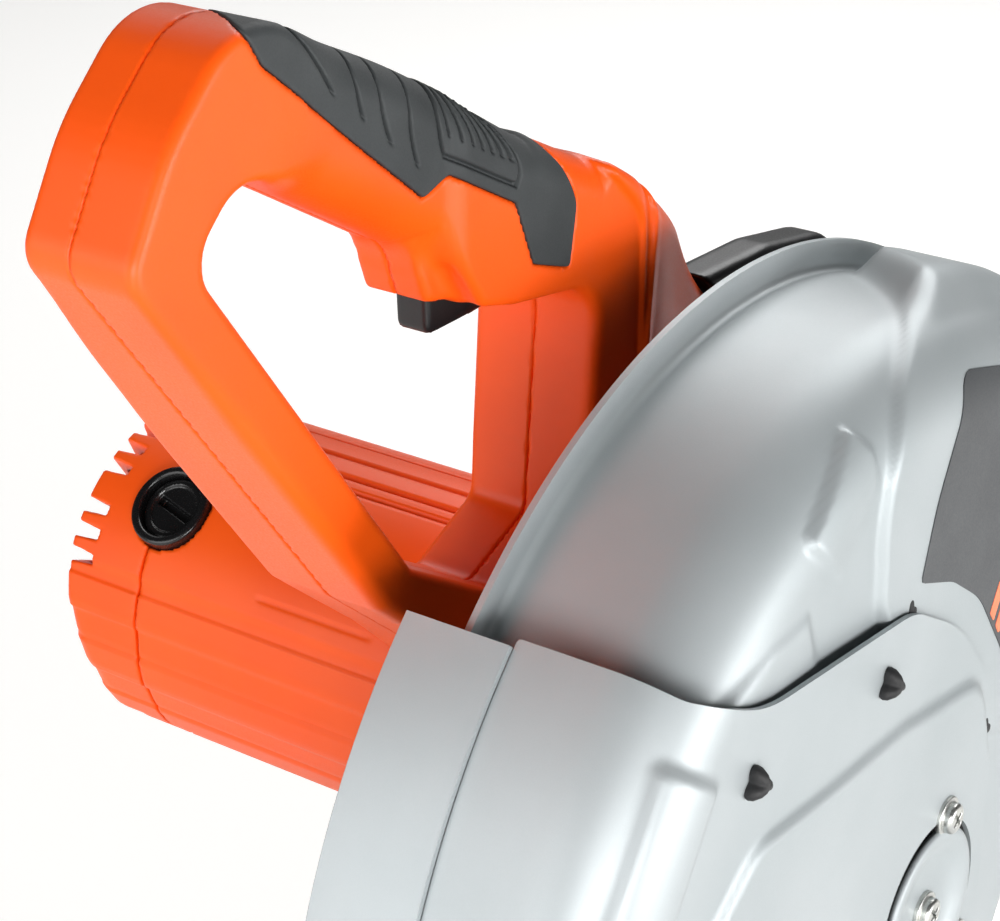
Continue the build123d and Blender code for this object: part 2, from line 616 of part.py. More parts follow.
def lower_outline():
    """Side view of the moving guard: radial front edge, wave, hub lobe, rear edge."""
    lobe_y, lobe_z, lobe_radius = -41.0, 33.0, 78.5
    far = 222.0
    corner = polar(far / math.sin(math.radians(BAND_FROM)), BAND_FROM)
    edge = polar(183, BAND_FROM)
    crest = (lobe_y + lobe_radius * math.cos(math.radians(94)),
             lobe_z + lobe_radius * math.sin(math.radians(94)))
    flank = (lobe_y + lobe_radius * math.cos(math.radians(40)),
             lobe_z + lobe_radius * math.sin(math.radians(40)))
    rear = (lobe_y + lobe_radius, lobe_z)
    inward = (-math.cos(math.radians(BAND_FROM)), -math.sin(math.radians(BAND_FROM)))
    wave = Spline(edge, (-96, 118.6), (-72, 116.2), crest, tangents=(inward, (0.98, -0.17)))
    foot = polar(far, BAND_TO)
    lines = [Line(corner, edge), wave, ThreePointArc(crest, flank, rear),
             Polyline(rear, foot, (-far, -far), corner)]
    return make_face(Wire.combine([edge_ for line in lines for edge_ in line.edges()])[0])


def make_lower_guard():
    """Moving guard: dished plate, outer band, bearing ring and its screws."""
    section = guard_section(BAND_RIGHT, LOWER_FACE, LOWER_RADIUS, LOWER_ROUNDING, LOWER_SHEET)
    dish = turned(section) & slab(lower_outline(), -60, 60)
    dish = dish - rod(40, 50, HUB_HOLE_RADIUS)
    screws = []
    for angle in RING_SCREW_ANGLES:
        y, z = polar(RING_SCREW_RADIUS, angle)
        dish = dish - rod(40, 50, 2.5, y, z)
        screws += pan_screw(LOWER_FACE, y, z, 4.8, 2.5, 4.2, 5.3)
    for y, z in bumper_places():
        dish = dish - rod(40, 50, 3, y, z)
    on_head("lower_guard_dish", dish)
    ring = tube(GUARD_FACE + 0.8, LOWER_FACE - LOWER_SHEET, 40, HUB_RADIUS + RUNNING_CLEARANCE)
    for angle in RING_SCREW_ANGLES:
        ring = ring - rod(40, 44, 2.5, *polar(RING_SCREW_RADIUS, angle))
    on_head("guard_bearing_ring", ring)
    on_head("ring_screws", *screws)
    band = [(BAND_LEFT, BAND_RADIUS - BAND_SHEET), (BAND_LEFT, BAND_RADIUS),
            (BAND_RIGHT + 3, BAND_RADIUS), (BAND_RIGHT + 3, LOWER_RADIUS),
            (BAND_RIGHT, LOWER_RADIUS), (BAND_RIGHT, BAND_RADIUS - BAND_SHEET)]
    on_head("lower_guard_band", turned(band, BAND_FROM, BAND_TO - BAND_FROM))


def bumper_places():
    """Places (y, z) of the rubber bumpers on the moving guard's face."""
    return [(-34, 95), (-108, 101)]


def make_bumpers():
    """Rubber bumpers on the moving guard, and rubber rub pads on the fixed one."""
    bumpers = []
    for y, z in bumper_places():
        head = Location((LOWER_FACE, y, z), (0, 90, 0)) * Location((0, 0, 2.5)) * Cone(5.5, 3.5, 5)
        bumpers.append(head + rod(LOWER_FACE - 2.6, LOWER_FACE + 0.5, 3, y, z))
    on_head("guard_bumpers", *bumpers)
    pads = [rod(GUARD_FACE, GUARD_FACE + 2.6, 5, y, z) for y, z in ((-22, 112), (37, 46))]
    on_head("rub_pads", *pads)


def make_hub_cover():
    """Hub cover with its middle screw, and the guard's return spring under it."""
    cover = rod(LOWER_FACE, LOWER_FACE + 4.5, COVER_RADIUS)
    cover = fillet(cover.edges().filter_by(GeomType.CIRCLE).sort_by(Axis.X)[-1], 3)
    cover = cover - rod(LOWER_FACE - 1, LOWER_FACE + 5, 2.5)
    on_head("hub_cover", cover)
    on_head("hub_cover_screw", *pan_screw(LOWER_FACE + 4.5, 0, 0, 4.8, 2.5, 12, 5.3))
    path = Helix(pitch=1.5, height=2.0, radius=14)
    wire = sweep(Plane(path @ 0, z_dir=path % 0) * Circle(0.6), path=path)
    on_head("guard_spring", Location((42, 0, 0), (0, 90, 0)) * wire)


def make_badge():
    """Blank data plate on the fixed guard's face."""
    outline = [(-14, 118), (-4, 152), (44, 148), (112, 100), (122, 70), (52, 56), (34, 84), (10, 107)]
    plate = slab(rounded(outline, 4), GUARD_FACE, GUARD_FACE + 0.6)
    on_head("guard_badge", plate)


# ---- handle -------------------------------------------------------------
def handle_outline():
    """Side view of the whole handle: strut, nose, grip, dome and foot."""
    return rounded([(-118, 119), (-208, 243), (-176, 296), (-150, 292), (-40, 234), (2, 216),
                    (52, 184), (90, 142), (100, 112), (64, 60), (0, 20), (-60, 66)], HANDLE_CORNER)


def grip_opening():
    """Side view of the finger opening of the D-handle."""
    return rounded([(-170, 254), (-181, 241), (-104, 129), (-52, 95), (-24, 109), (-18, 178),
                    (-56, 188), (-98, 202), (-112, 222)], 7)


def skin_region():
    """Side view of where the rubber skin lies: over the grip, with a strap behind."""
    return polygon([(-158, 330), (-150, 270), (-96, 231), (-84, 233), (-52, 216), (-44, 196),
                    (-26, 190), (-20, 205), (-30, 250)])


def make_handle():
    """Two hollow shells meeting on the seam, the dome behind the post, and the skin."""
    face = handle_outline() - grip_opening()
    face = face - Pos(MOTOR_Y, MOTOR_Z) * Circle(MOTOR_RADIUS + 2.3)
    x0, x1 = HANDLE_X - HANDLE_HALF_WIDTH, HANDLE_X + HANDLE_HALF_WIDTH
    body = slab(face, x0, x1)
    ends = body.edges().group_by(Axis.X)
    body = fillet(ends[0] + ends[-1], HANDLE_EDGE)
    thin = slab(offset(face, amount=-SKIN), x0 + SKIN, x1 - SKIN)
    skin = (body & slab(skin_region(), x0, x1)) - thin
    core = slab(offset(face, amount=-HANDLE_WALL), x0 + HANDLE_WALL, x1 - HANDLE_WALL)
    for half_width, start, inset in DOME_STEPS:
        window = polygon([(start, DOME_BOTTOM), (start, 240), (140, 240), (140, DOME_BOTTOM)])
        step = offset(handle_outline(), amount=-inset) & window
        body = body + slab(step, HANDLE_X - half_width, HANDLE_X + half_width)
    slot = slab(polygon([(-101, 188), (-101, 212), (-50, 200), (-50, 180)]),
                HANDLE_X - TRIGGER_HALF_WIDTH - 0.5, HANDLE_X + TRIGGER_HALF_WIDTH + 0.5)
    body = body - core - slot
    screws = []
    for y, z in handle_screw_places():
        body = body + rod(x0 + 1, x1 - 1, 5.5, y, z)
        body = body - rod(x0 - 20, x1 - 3, 2.2, y, z) - rod(x0 - 20, x0 + 3, 4.2, y, z)
        screws.append(rod(x0 + 0.6, x0 + 3, 4, y, z) + rod(x0 + 3, x1 - 4, 2.2, y, z))
    body = body - skin
    left = body & box(-200, HANDLE_X, -300, 300, -100, 400)
    right = body & box(HANDLE_X, 0, -300, 300, -100, 400)
    on_head("handle_left_shell", left)
    on_head("handle_right_shell", right)
    on_head("grip_overmold", skin)
    on_head("handle_screws", *screws)


def handle_screw_places():
    """Places (y, z) of the screws that hold the handle shells together."""
    return [(-184, 266), (-134, 157), (-76, 95), (-6, 130), (-12, 200), (78, 128)]


def make_trigger():
    """Trigger and the switch body behind it."""
    outline = polygon([(-98, 205), (-97, 195), (-92, 189), (-84, 186.5), (-60, 186.5), (-56, 199),
                       (-72, 209), (-95, 214)])
    trigger = slab(outline, HANDLE_X - TRIGGER_HALF_WIDTH, HANDLE_X + TRIGGER_HALF_WIDTH)
    on_head("trigger", trigger)
    switch = box(HANDLE_X - 11, HANDLE_X + 11, -98, -62, 221, 237)
    on_head("switch_body", switch)


def make_rear_fittings():
    """Carry handle behind the dome and the cord gland beside it."""
    loop = rounded([(60, 156), (112, 154), (150, 148), (180, 118), (172, 78), (116, 38), (40, 24)], 10)
    window = rounded([(60, 137), (108, 139), (142, 133), (163, 112), (156, 86), (110, 54), (50, 44)], 8)
    face = loop - window - handle_outline() - Pos(MOTOR_Y, MOTOR_Z) * Circle(MOTOR_RADIUS)
    on_head("carry_handle", slab(face, HANDLE_X - 8, HANDLE_X + 8))
    gland = Location((HANDLE_X - 21, 104, 130), (-90, 0, 0)) * Cone(8, 5.5, 40)
    gland = gland - slab(handle_outline(), -200, 0) - rod_y(80, 130, 3.2, HANDLE_X - 21, 130)
    on_head("cord_gland", gland)


for build in (make_base, make_feet, make_bracket, make_deck_bolts, make_pivot, make_depth_stop, make_fence,
              make_vise, make_spark_deflector, make_arm, make_gear_case, make_spindle_lock,
              make_spindle, make_motor_housing, make_brushes, make_motor_inside,
              make_upper_guard, make_lower_guard, make_bumpers, make_hub_cover, make_badge,
              make_handle, make_trigger, make_rear_fittings):
    build()

os.makedirs("parts", exist_ok=True)
for name, solids in parts.items():
    shape = solids[0] if len(solids) == 1 else Compound(children=solids)
    export_step(shape, f"parts/{name}.step")
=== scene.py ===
"""Studio scene of an abrasive chop saw: detailed head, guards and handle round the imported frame."""
import json
import math

import bpy
import numpy as np
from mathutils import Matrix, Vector


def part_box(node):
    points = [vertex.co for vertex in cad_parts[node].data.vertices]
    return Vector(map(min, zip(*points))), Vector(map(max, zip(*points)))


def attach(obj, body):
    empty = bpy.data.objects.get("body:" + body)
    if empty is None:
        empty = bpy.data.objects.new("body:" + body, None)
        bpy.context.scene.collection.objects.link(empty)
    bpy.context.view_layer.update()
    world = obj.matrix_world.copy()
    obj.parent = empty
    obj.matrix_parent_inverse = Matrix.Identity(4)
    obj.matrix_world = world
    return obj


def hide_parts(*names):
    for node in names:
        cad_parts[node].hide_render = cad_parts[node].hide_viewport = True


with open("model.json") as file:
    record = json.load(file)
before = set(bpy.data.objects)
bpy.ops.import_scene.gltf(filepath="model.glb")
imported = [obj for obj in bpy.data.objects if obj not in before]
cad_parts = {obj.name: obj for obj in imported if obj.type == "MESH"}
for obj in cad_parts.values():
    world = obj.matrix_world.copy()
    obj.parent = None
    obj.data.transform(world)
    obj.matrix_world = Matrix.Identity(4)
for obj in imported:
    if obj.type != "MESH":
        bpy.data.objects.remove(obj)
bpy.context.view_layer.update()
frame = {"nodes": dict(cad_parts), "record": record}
MM = 0.001

# ---- places read from the frame -----------------------------------------
WHEEL_LOW, WHEEL_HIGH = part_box("abrasive_wheel")
SPINDLE = (WHEEL_LOW + WHEEL_HIGH) / 2
MOTOR_LOW, MOTOR_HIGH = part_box("armature")
MOTOR = ((MOTOR_LOW + MOTOR_HIGH) / 2 - SPINDLE) / MM
MOTOR_Y, MOTOR_Z = MOTOR.y, MOTOR.z
MOTOR_RADIUS = 58.0
MOTOR_SEAM = -220.0
MOTOR_END = -251.9
MOTOR_START = -65.0
HANDLE_X = -85.0


# ---- camera -------------------------------------------------------------
CAMERA_PLACE = (0.31420, -0.57186, 0.82504)
CAMERA_AZIMUTH = 35.284
CAMERA_ELEVATION = 25.135
CAMERA_LENS = 92.39


def make_camera():
    """Close three-quarter view of the raised head from the front right."""
    data = bpy.data.cameras.new("camera")
    camera = bpy.data.objects.new("camera", data)
    bpy.context.scene.collection.objects.link(camera)
    data.lens = CAMERA_LENS
    data.sensor_width = 36.0
    data.clip_start = 0.02
    data.clip_end = 50.0
    camera.location = CAMERA_PLACE
    azimuth, elevation = math.radians(CAMERA_AZIMUTH), math.radians(CAMERA_ELEVATION)
    back = Vector((math.sin(azimuth) * math.cos(elevation), -math.cos(azimuth) * math.cos(elevation),
                   math.sin(elevation)))
    camera.rotation_euler = (-back).to_track_quat("-Z", "Y").to_euler()
    bpy.context.scene.camera = camera


make_camera()


# ---- mesh helpers -------------------------------------------------------
def add_piece(name, points, faces, body, material):
    """Smooth object from points in millimetres about the spindle, riding on a body."""
    points = np.asarray(points, float) * MM + np.array(SPINDLE)
    mesh = bpy.data.meshes.new(name)
    mesh.from_pydata(points.tolist(), [], [tuple(int(i) for i in face) for face in faces])
    mesh.validate()
    mesh.update()
    piece = bpy.data.objects.new(name, mesh)
    bpy.context.scene.collection.objects.link(piece)
    mesh.materials.append(material)
    mesh.polygons.foreach_set("use_smooth", [True] * len(mesh.polygons))
    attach(piece, body)
    return piece


ARC_DEGREES = 7.0
ARC_CHORD = 3.0
GRID_STEP = 1.0
GRID_MARGIN = 34.0


def rounded_outline(corners):
    """Closed outline of points from (y, z, radius) corners, each radius an arc."""
    points = []
    count = len(corners)
    for index, (y, z, radius) in enumerate(corners):
        here = np.array((y, z))
        before = np.array(corners[index - 1][:2]) - here
        after = np.array(corners[(index + 1) % count][:2]) - here
        before, after = before / np.linalg.norm(before), after / np.linalg.norm(after)
        half = math.acos(max(-1, min(1, float(before @ after)))) / 2
        if radius < 0.05 or half > math.radians(89.6):
            points.append(here)
            continue
        reach = radius / math.tan(half)
        middle = (before + after) / np.linalg.norm(before + after)
        centre = here + middle * radius / math.sin(half)
        first, last = here + before * reach - centre, here + after * reach - centre
        start = math.atan2(first[1], first[0])
        turn = (math.atan2(last[1], last[0]) - start + math.pi) % (2 * math.pi) - math.pi
        steps = max(2, int(abs(math.degrees(turn)) / ARC_DEGREES), int(abs(turn) * radius / ARC_CHORD))
        for step in range(steps + 1):
            angle = start + turn * step / steps
            points.append(centre + radius * np.array((math.cos(angle), math.sin(angle))))
    return np.array(points)


def outline_distance(points, y, z):
    """Signed distance in the side view to a closed outline, negative inside."""
    y, z = np.broadcast_arrays(np.asarray(y, float), np.asarray(z, float))
    nearest = np.full(y.shape, 1e18)
    inside = np.zeros(y.shape, bool)
    for (y0, z0), (y1, z1) in zip(points, np.roll(points, -1, axis=0)):
        dy, dz = y1 - y0, z1 - z0
        along = np.clip(((y - y0) * dy + (z - z0) * dz) / max(dy * dy + dz * dz, 1e-12), 0, 1)
        nearest = np.minimum(nearest, (y - y0 - along * dy) ** 2 + (z - z0 - along * dz) ** 2)
        if z0 != z1:
            crosses = (z0 > z) != (z1 > z)
            inside ^= crosses & (y < (z - z0) * dy / dz + y0)
    return np.where(inside, -1, 1) * np.sqrt(nearest)


class SideShape:
    """Side-view distance field kept on a grid, read back smoothly anywhere."""

    def __init__(self, corners):
        points = rounded_outline(corners)
        self.low = points.min(axis=0) - GRID_MARGIN
        count = np.ceil((points.max(axis=0) + GRID_MARGIN - self.low) / GRID_STEP).astype(int) + 2
        y = self.low[0] + GRID_STEP * np.arange(count[0])
        z = self.low[1] + GRID_STEP * np.arange(count[1])
        self.grid = outline_distance(points, y[:, None], z[None, :])

    def __call__(self, y, z):
        y, z = np.broadcast_arrays(np.asarray(y, float), np.asarray(z, float))
        top = np.array(self.grid.shape) - 2
        u, v = (y - self.low[0]) / GRID_STEP, (z - self.low[1]) / GRID_STEP
        i = np.clip(np.floor(u).astype(int), 0, top[0])
        j = np.clip(np.floor(v).astype(int), 0, top[1])
        u, v = u - i, v - j
        grid = self.grid
        return (grid[i, j] * (1 - u) * (1 - v) + grid[i + 1, j] * u * (1 - v)
                + grid[i, j + 1] * (1 - u) * v + grid[i + 1, j + 1] * u * v)


def ease(value, start, end):
    """Smooth step from 0 at start to 1 at end."""
    t = np.clip((value - start) / (end - start), 0, 1)
    return t * t * (3 - 2 * t)


def soft_union(a, b, radius):
    """Union of two fields with a fillet of about the radius."""
    blend = np.clip(0.5 + 0.5 * (b - a) / radius, 0, 1)
    return b * (1 - blend) + a * blend - radius * blend * (1 - blend) * 0.5


def soft_cut(a, b, radius):
    """Field a with b taken away, with a rounded edge."""
    return -soft_union(-a, b, radius)


def pulled(side, across, radius):
    """Side-view field pulled out across X with its edges rounded."""
    u, v = side + radius, across + radius
    return np.minimum(np.maximum(u, v), 0) + np.hypot(np.maximum(u, 0), np.maximum(v, 0)) - radius


EDGES = [(a, b) for a in range(8) for b in range(a + 1, 8) if bin(a ^ b).count("1") == 1]


def skin(field, low, high, step):
    """Quad skin of a field's zero surface: points and faces, the points drawn onto the surface."""
    axes = [np.arange(a, b + step, step) for a, b in zip(low, high)]
    grids = [axis.reshape([-1 if k == d else 1 for k in range(3)]) for d, axis in enumerate(axes)]
    values = np.ascontiguousarray(np.broadcast_to(field(*grids), [len(a) for a in axes]), np.float32)
    values = np.where(np.abs(values) < 1e-6, 1e-6, values)
    solid = values < 0
    shape = [n - 1 for n in solid.shape]
    corner = [solid[(c & 1):shape[0] + (c & 1), (c >> 1 & 1):shape[1] + (c >> 1 & 1),
                    (c >> 2):shape[2] + (c >> 2)] for c in range(8)]
    total = sum(c.astype(np.int8) for c in corner)
    cells = np.argwhere((total > 0) & (total < 8))
    index = np.full(shape, -1, np.int64)
    index[tuple(cells.T)] = np.arange(len(cells))
    places, weight = np.zeros((len(cells), 3)), np.zeros(len(cells))
    offset = np.array([(c & 1, c >> 1 & 1, c >> 2) for c in range(8)])
    at = [values[tuple((cells + o).T)] for o in offset]
    for a, b in EDGES:
        cross = (at[a] < 0) != (at[b] < 0)
        share = np.where(cross, at[a] / np.where(cross, at[a] - at[b], 1), 0)
        places += cross[:, None] * (offset[a] + share[:, None] * (offset[b] - offset[a]))
        weight += cross
    points = np.array(low) + step * (cells + places / weight[:, None])
    faces = []
    for d in range(3):
        e, f = (d + 1) % 3, (d + 2) % 3
        here = [slice(1, -1)] * 3
        here[d] = slice(0, -1)
        there = list(here)
        there[d] = slice(1, None)
        change = solid[tuple(here)] != solid[tuple(there)]
        spots = np.argwhere(change)
        spots[:, e] += 1
        spots[:, f] += 1
        inward = solid[tuple(spots.T)]
        around = []
        for de, df in ((1, 1), (0, 1), (0, 0), (1, 0)):
            shift = spots.copy()
            shift[:, e] -= de
            shift[:, f] -= df
            around.append(index[tuple(shift.T)])
        quads = np.stack(around, axis=1)
        quads[~inward] = quads[~inward][:, ::-1]
        faces.append(quads)
    faces = np.concatenate(faces)
    reach = 0.25 * step
    for _ in range(3):
        value = field(*points.T)
        slope = np.stack([(field(*(points + shift).T) - field(*(points - shift).T)) / (2 * reach)
                          for shift in np.eye(3) * reach], axis=1)
        size = np.maximum((slope ** 2).sum(axis=1), 0.04)
        move = slope * (value / size)[:, None]
        length = np.linalg.norm(move, axis=1, keepdims=True)
        points -= move * np.minimum(1, 0.5 * step / np.maximum(length, 1e-9))
    return points, faces


def add_skin(name, field, low, high, step, body, material):
    """Object made of the skin of a field."""
    points, faces = skin(field, low, high, step * (1.0))
    return add_piece(name, points, faces, body, material)


def turned_faces(rings, turns, start):
    """Quads that join rings of points, one ring after the other."""
    faces = []
    for ring in range(rings - 1):
        for step in range(turns):
            a, b = start + ring * turns + step, start + ring * turns + (step + 1) % turns
            faces.append([a, b, b + turns, a + turns])
    return faces


# ---- handle -------------------------------------------------------------
# Side views of the handle, its finger opening, the lip in front of the trigger and the two collar ridges.
OUTER = SideShape([(-118, 119, 10), (-209, 243, 10), (-193, 271, 60), (-166, 297, 24), (-96, 264.6, 300),
                   (-46, 233.8, 1), (-44.5, 234.6, 1), (-18, 221.2, 1), (-17, 221.9, 1), (2, 210.5, 4),
                   (38, 186, 40), (80, 142, 34), (94, 112, 14), (64, 60, 10), (0, 20, 5), (-60, 66, 10),
                   (-84, 90, 20)])
OPENING = SideShape([(-167, 258.5, 15), (-186, 240.5, 11), (-104.5, 127, 8), (-52, 95, 5), (-23, 107, 5),
                     (-17, 183, 14), (-56, 189, 30), (-71, 193, 6), (-80.5, 207.2, 6)])
LIP = SideShape([(-92, 216, 2), (-85, 197, 2.5), (-60, 190.5, 8), (-56, 212, 4), (-80, 226, 4)])
LIP_HALF_WIDTH = 11.2
RIDGE_ONE = SideShape([(-300, 60, 0), (-300, 400, 0), (-17, 400, 0), (-16, 219, 6), (3.2, 200, 22),
                       (3.2, 60, 0)])
RIDGE_TWO = SideShape([(-300, 60, 0), (-300, 400, 0), (2, 400, 0), (2, 214, 8), (10.5, 200, 22),
                       (7.5, 178, 30), (0, 130, 30), (0, 60, 0)])
RIDGE_STEP = 1.7
RIDGE_FALL = 1.15
HALF_WIDTH = 20.0
CROWN_START = (-150, 291)
BARREL_SLOPE = math.radians(-27.2)


def along_grip(y, z):
    """Distance along the grip, from the nose end towards the dome."""
    across, up = y - CROWN_START[0], z - CROWN_START[1]
    return across * math.cos(BARREL_SLOPE) + up * math.sin(BARREL_SLOPE)


def below_crown(y, z):
    """Distance under the straight crown of the grip."""
    across, up = y - CROWN_START[0], z - CROWN_START[1]
    return across * math.sin(BARREL_SLOPE) - up * math.cos(BARREL_SLOPE)


def handle_field(x, y, z):
    """The whole handle as one body."""
    s, drop = along_grip(y, z), below_crown(y, z)
    near = x > HANDLE_X
    side = np.abs(x - HANDLE_X)
    outer, hole = OUTER(y, z), OPENING(y, z)
    on_grip = 1 - ease(drop, 50, 62)
    barrel = ease(s, 6, 34) * (1 - ease(y, -88, -78)) * on_grip
    grip_top = ease(s, -2, 30) * (1 - ease(y, -16, -11)) * on_grip
    strut = 1 - ease(y, -110, -60)
    half_width = HALF_WIDTH - 1.8 * barrel + 2.0 * ease(y, -75, -20) + 1.2 * ease(y, -22, 0)
    far_trim = strut * (1 - barrel) * (4.5 * ease(z, 205, 240) - 2.5 * (1 - ease(z, 170, 215)))
    half_width = half_width - np.where(near, 0.0, far_trim)
    for ridge in (RIDGE_ONE, RIDGE_TWO):
        past = ridge(y, z)
        half_width = half_width + RIDGE_STEP * ease(past, -0.7, 0.5) - RIDGE_FALL * ease(past, 0.5, 7)
    half_width = half_width - 2.0 * ease(z, 128, 108) * ease(y, -30, 10)
    half_width = half_width - 16.0 * ease(y, 7, 70) - 1.0 * ease(y, 1, 7)
    dome = ease(y, -4, 16) * ease(z, 118, 150)
    top_round = 3.0 + 8.0 * grip_top + 4.5 * dome
    top_round = top_round + np.where(near, 2.0 * strut * (1 - ease(z, 190, 225)), 0.0)
    hole_round = 2.6 + 12.5 * barrel + 1.0 * ease(y, -60, -30)
    nearer = ease(outer + hole, -7, 7)
    radius = top_round * nearer + hole_round * (1 - nearer)
    silhouette = -soft_union(-outer, hole, 2.0)
    body = pulled(silhouette, side - half_width, radius)
    lip = pulled(LIP(y, z), side - LIP_HALF_WIDTH, 2.2)
    body = soft_union(body, lip, 6.0)
    motor = MOTOR_RADIUS + 1.2 - np.hypot(y - MOTOR_Y, z - MOTOR_Z)
    return np.maximum(body, motor)


SKIN_SIDE = SideShape([(-166, 330, 0), (-165, 291, 4), (-159.5, 282.5, 3), (-95.7, 231.6, 0.8),
                       (-85, 235, 0.8), (-57, 219.6, 0.8), (-49, 199.4, 0.8), (-32.6, 193.6, 1),
                       (-29.4, 212, 8), (-35, 224, 14), (-44, 236, 2), (-44, 330, 0)])
SHELL_DEPTH = 2.2


def skin_side(x, y, z):
    """Side-view distance to the rubber's outline, whose front end slants back across the crown."""
    slant = 0.62 * np.clip(-67 - x, 0, 40) * (1 - ease(y, -138, -118))
    return SKIN_SIDE(y - slant, z)


def shell_field(x, y, z):
    """Orange plastic: the handle with a shallow seat for the rubber skin."""
    body = handle_field(x, y, z)
    seat = np.maximum(-(body + SHELL_DEPTH), skin_side(x, y, z) - 0.25)
    return soft_cut(body, seat, 0.4)


# Long grooves in the rubber: place at the crown, lean, curl, and how far down the side they run.
LONG_GROOVES = ((0.0, 2.6, -0.035, 12.0), (32.4, 0.0, 0.040, 14.9), (43.2, 0.0, 0.037, 18.2),
                (57.1, 0.0, 0.027, 21.1))
GROOVE_HALF = 0.6
FINE_GROOVES = 7
FINE_REACH = 10.4
PANEL_REACH = 15.4
GROOVE_DEPTH = 1.7


def notch(distance, half_width):
    """Profile of a moulded groove across its middle line, from 1 down to 0."""
    return 1 - ease(distance, 0.35 * half_width, 1.4 * half_width)


def panel_ends(drop):
    """Places along the grip where the thumb panel starts and ends, a distance below the crown."""
    return 70.6 + 0.034 * drop ** 2, 111.5 - 0.105 * (14.5 - np.minimum(drop, 14.5)) ** 2


def skin_relief(y, z):
    """Height of the thumb panel less the depth of the grooves in the rubber skin."""
    s, drop = along_grip(y, z), np.maximum(below_crown(y, z), 0)
    groove = 0.0
    for start, lean, curl, reach in LONG_GROOVES:
        slant = np.hypot(1, lean + 2 * curl * drop)
        line = notch(np.abs(s - start - lean * drop - curl * drop ** 2) / slant, 0.62)
        groove = np.maximum(groove, line * (1 - ease(drop, reach - 1.0, reach + 0.4)))
    start, end = panel_ends(drop)
    for index in range(FINE_GROOVES):
        share = (index + 0.7) / (FINE_GROOVES + 0.3)
        slant = np.hypot(1, 2.2 * share)
        line = notch(np.abs(s - start - share * (end - start)) / slant, GROOVE_HALF)
        groove = np.maximum(groove, line * (1 - ease(drop, FINE_REACH, FINE_REACH + 1)))
    inside = np.minimum(np.minimum(s - start, (end - s) * 0.6), PANEL_REACH - drop + 0.02 * (s - 78))
    groove = np.maximum(groove, 0.9 * notch(np.abs(inside + 0.6), GROOVE_HALF))
    return 0.5 * ease(inside, -0.5, 0.5) - GROOVE_DEPTH * groove


def overmold_field(x, y, z):
    """Rubber skin over the grip with its grooves."""
    body = handle_field(x, y, z)
    sheet = np.maximum(body - 0.3 - skin_relief(y, z), -(body + SHELL_DEPTH - 0.1))
    return -soft_union(-sheet, -skin_side(x, y, z), 0.9)


# ---- trigger, carry handle ----------------------------------------------
TRIGGER = SideShape([(-79, 208, 1), (-78, 184.2, 3), (-73, 182.6, 3), (-50, 184, 3), (-48, 200, 2),
                     (-60, 208, 2)])
TRIGGER_HALF_WIDTH = 5.6
TRIGGER_PLAY = 0.6
LOOP = SideShape([(60, 156, 2), (110, 154, 26), (150, 147, 26), (180, 118, 24), (172, 78, 20), (116, 38, 20),
                  (40, 24, 2)])
WINDOW = SideShape([(40, 140, 4), (108, 139.5, 20), (142, 133, 16), (163, 112, 14), (156, 86, 12),
                    (110, 54, 12), (50, 44, 4)])
LOOP_HALF_WIDTH = 8.0


def trigger_field(x, y, z):
    """Hooked trigger with rounded edges."""
    return pulled(TRIGGER(y, z), np.abs(x - HANDLE_X) - TRIGGER_HALF_WIDTH, 1.6)


def trigger_slot(x, y, z):
    """Gap in the handle that the trigger travels in."""
    box = np.maximum(np.abs(y + 63) - 18, np.abs(z - 198) - 15)
    return np.maximum(box, np.abs(x - HANDLE_X) - TRIGGER_HALF_WIDTH - TRIGGER_PLAY)


def carry_field(x, y, z):
    """Moulded loop behind the dome, for carrying."""
    side_view = np.maximum(LOOP(y, z), -WINDOW(y, z))
    loop = pulled(side_view, np.abs(x - HANDLE_X) - LOOP_HALF_WIDTH, 4.0)
    motor = MOTOR_RADIUS + 0.4 - np.hypot(y - MOTOR_Y, z - MOTOR_Z)
    return np.maximum(np.maximum(loop, -(OUTER(y, z) - 0.3)), motor)


# ---- handle screws ------------------------------------------------------
HANDLE_SCREWS = ((-184, 266), (-134, 157), (-76, 95), (-6, 130), (-12, 200), (78, 128))
SCREW_SINK = 2.6
WELL_RADIUS = 4.3


def counterbores(x, y, z, body):
    """Round seats for the screw heads, sunk into the far shell."""
    well = 1e3
    for across, up in HANDLE_SCREWS:
        well = np.minimum(well, np.hypot(y - across, z - up) - WELL_RADIUS)
    return np.maximum(np.maximum(well, -(body + SCREW_SINK)), x - HANDLE_X + 6)


# ---- motor --------------------------------------------------------------
BRUSH_ANGLE = 131.5
BRUSH_X = -217.0
BEZEL_RADIUS = 14.5
FACET = 12.0
FLUTES = (75.5, 88.0, 98.5, 104.5)
SLOT_PITCH = 8.7
SLOT_HALF = 2.75
SLOTS_A_SIDE = 3
SLOT_GAP = 3.4
SLOT_DEPTH = 10.5
MOTOR_WALL = 5.0


def motor_polar(y, z):
    """Radius and angle in degrees about the motor shaft."""
    return np.hypot(y - MOTOR_Y, z - MOTOR_Z), np.degrees(np.arctan2(z - MOTOR_Z, y - MOTOR_Y)) % 360


def faceted_radius(angle):
    """Wall radius: round on top, in flats underneath and at the front."""
    inside = np.abs((angle - 160) % FACET - FACET / 2)
    flat = MOTOR_RADIUS * np.cos(np.radians(FACET / 2)) / np.cos(np.radians(inside))
    share = ease(angle, 156, 160) * (1 - ease(angle, 292, 300))
    band = np.abs((angle - 169) % (2 * FACET) - FACET) - FACET / 2
    sunk = (1 - ease(band, -0.8, 0.4)) * share
    return MOTOR_RADIUS * (1 - share) + (flat - 0.2) * share - 0.9 * sunk


def brush_hole(x, y, z):
    """Round seats of the two brush bezels through the motor's wall."""
    turn = math.radians(BRUSH_ANGLE)
    across = -(y - MOTOR_Y) * math.sin(turn) + (z - MOTOR_Z) * math.cos(turn)
    return np.hypot(x - BRUSH_X, across) - BEZEL_RADIUS - 0.15


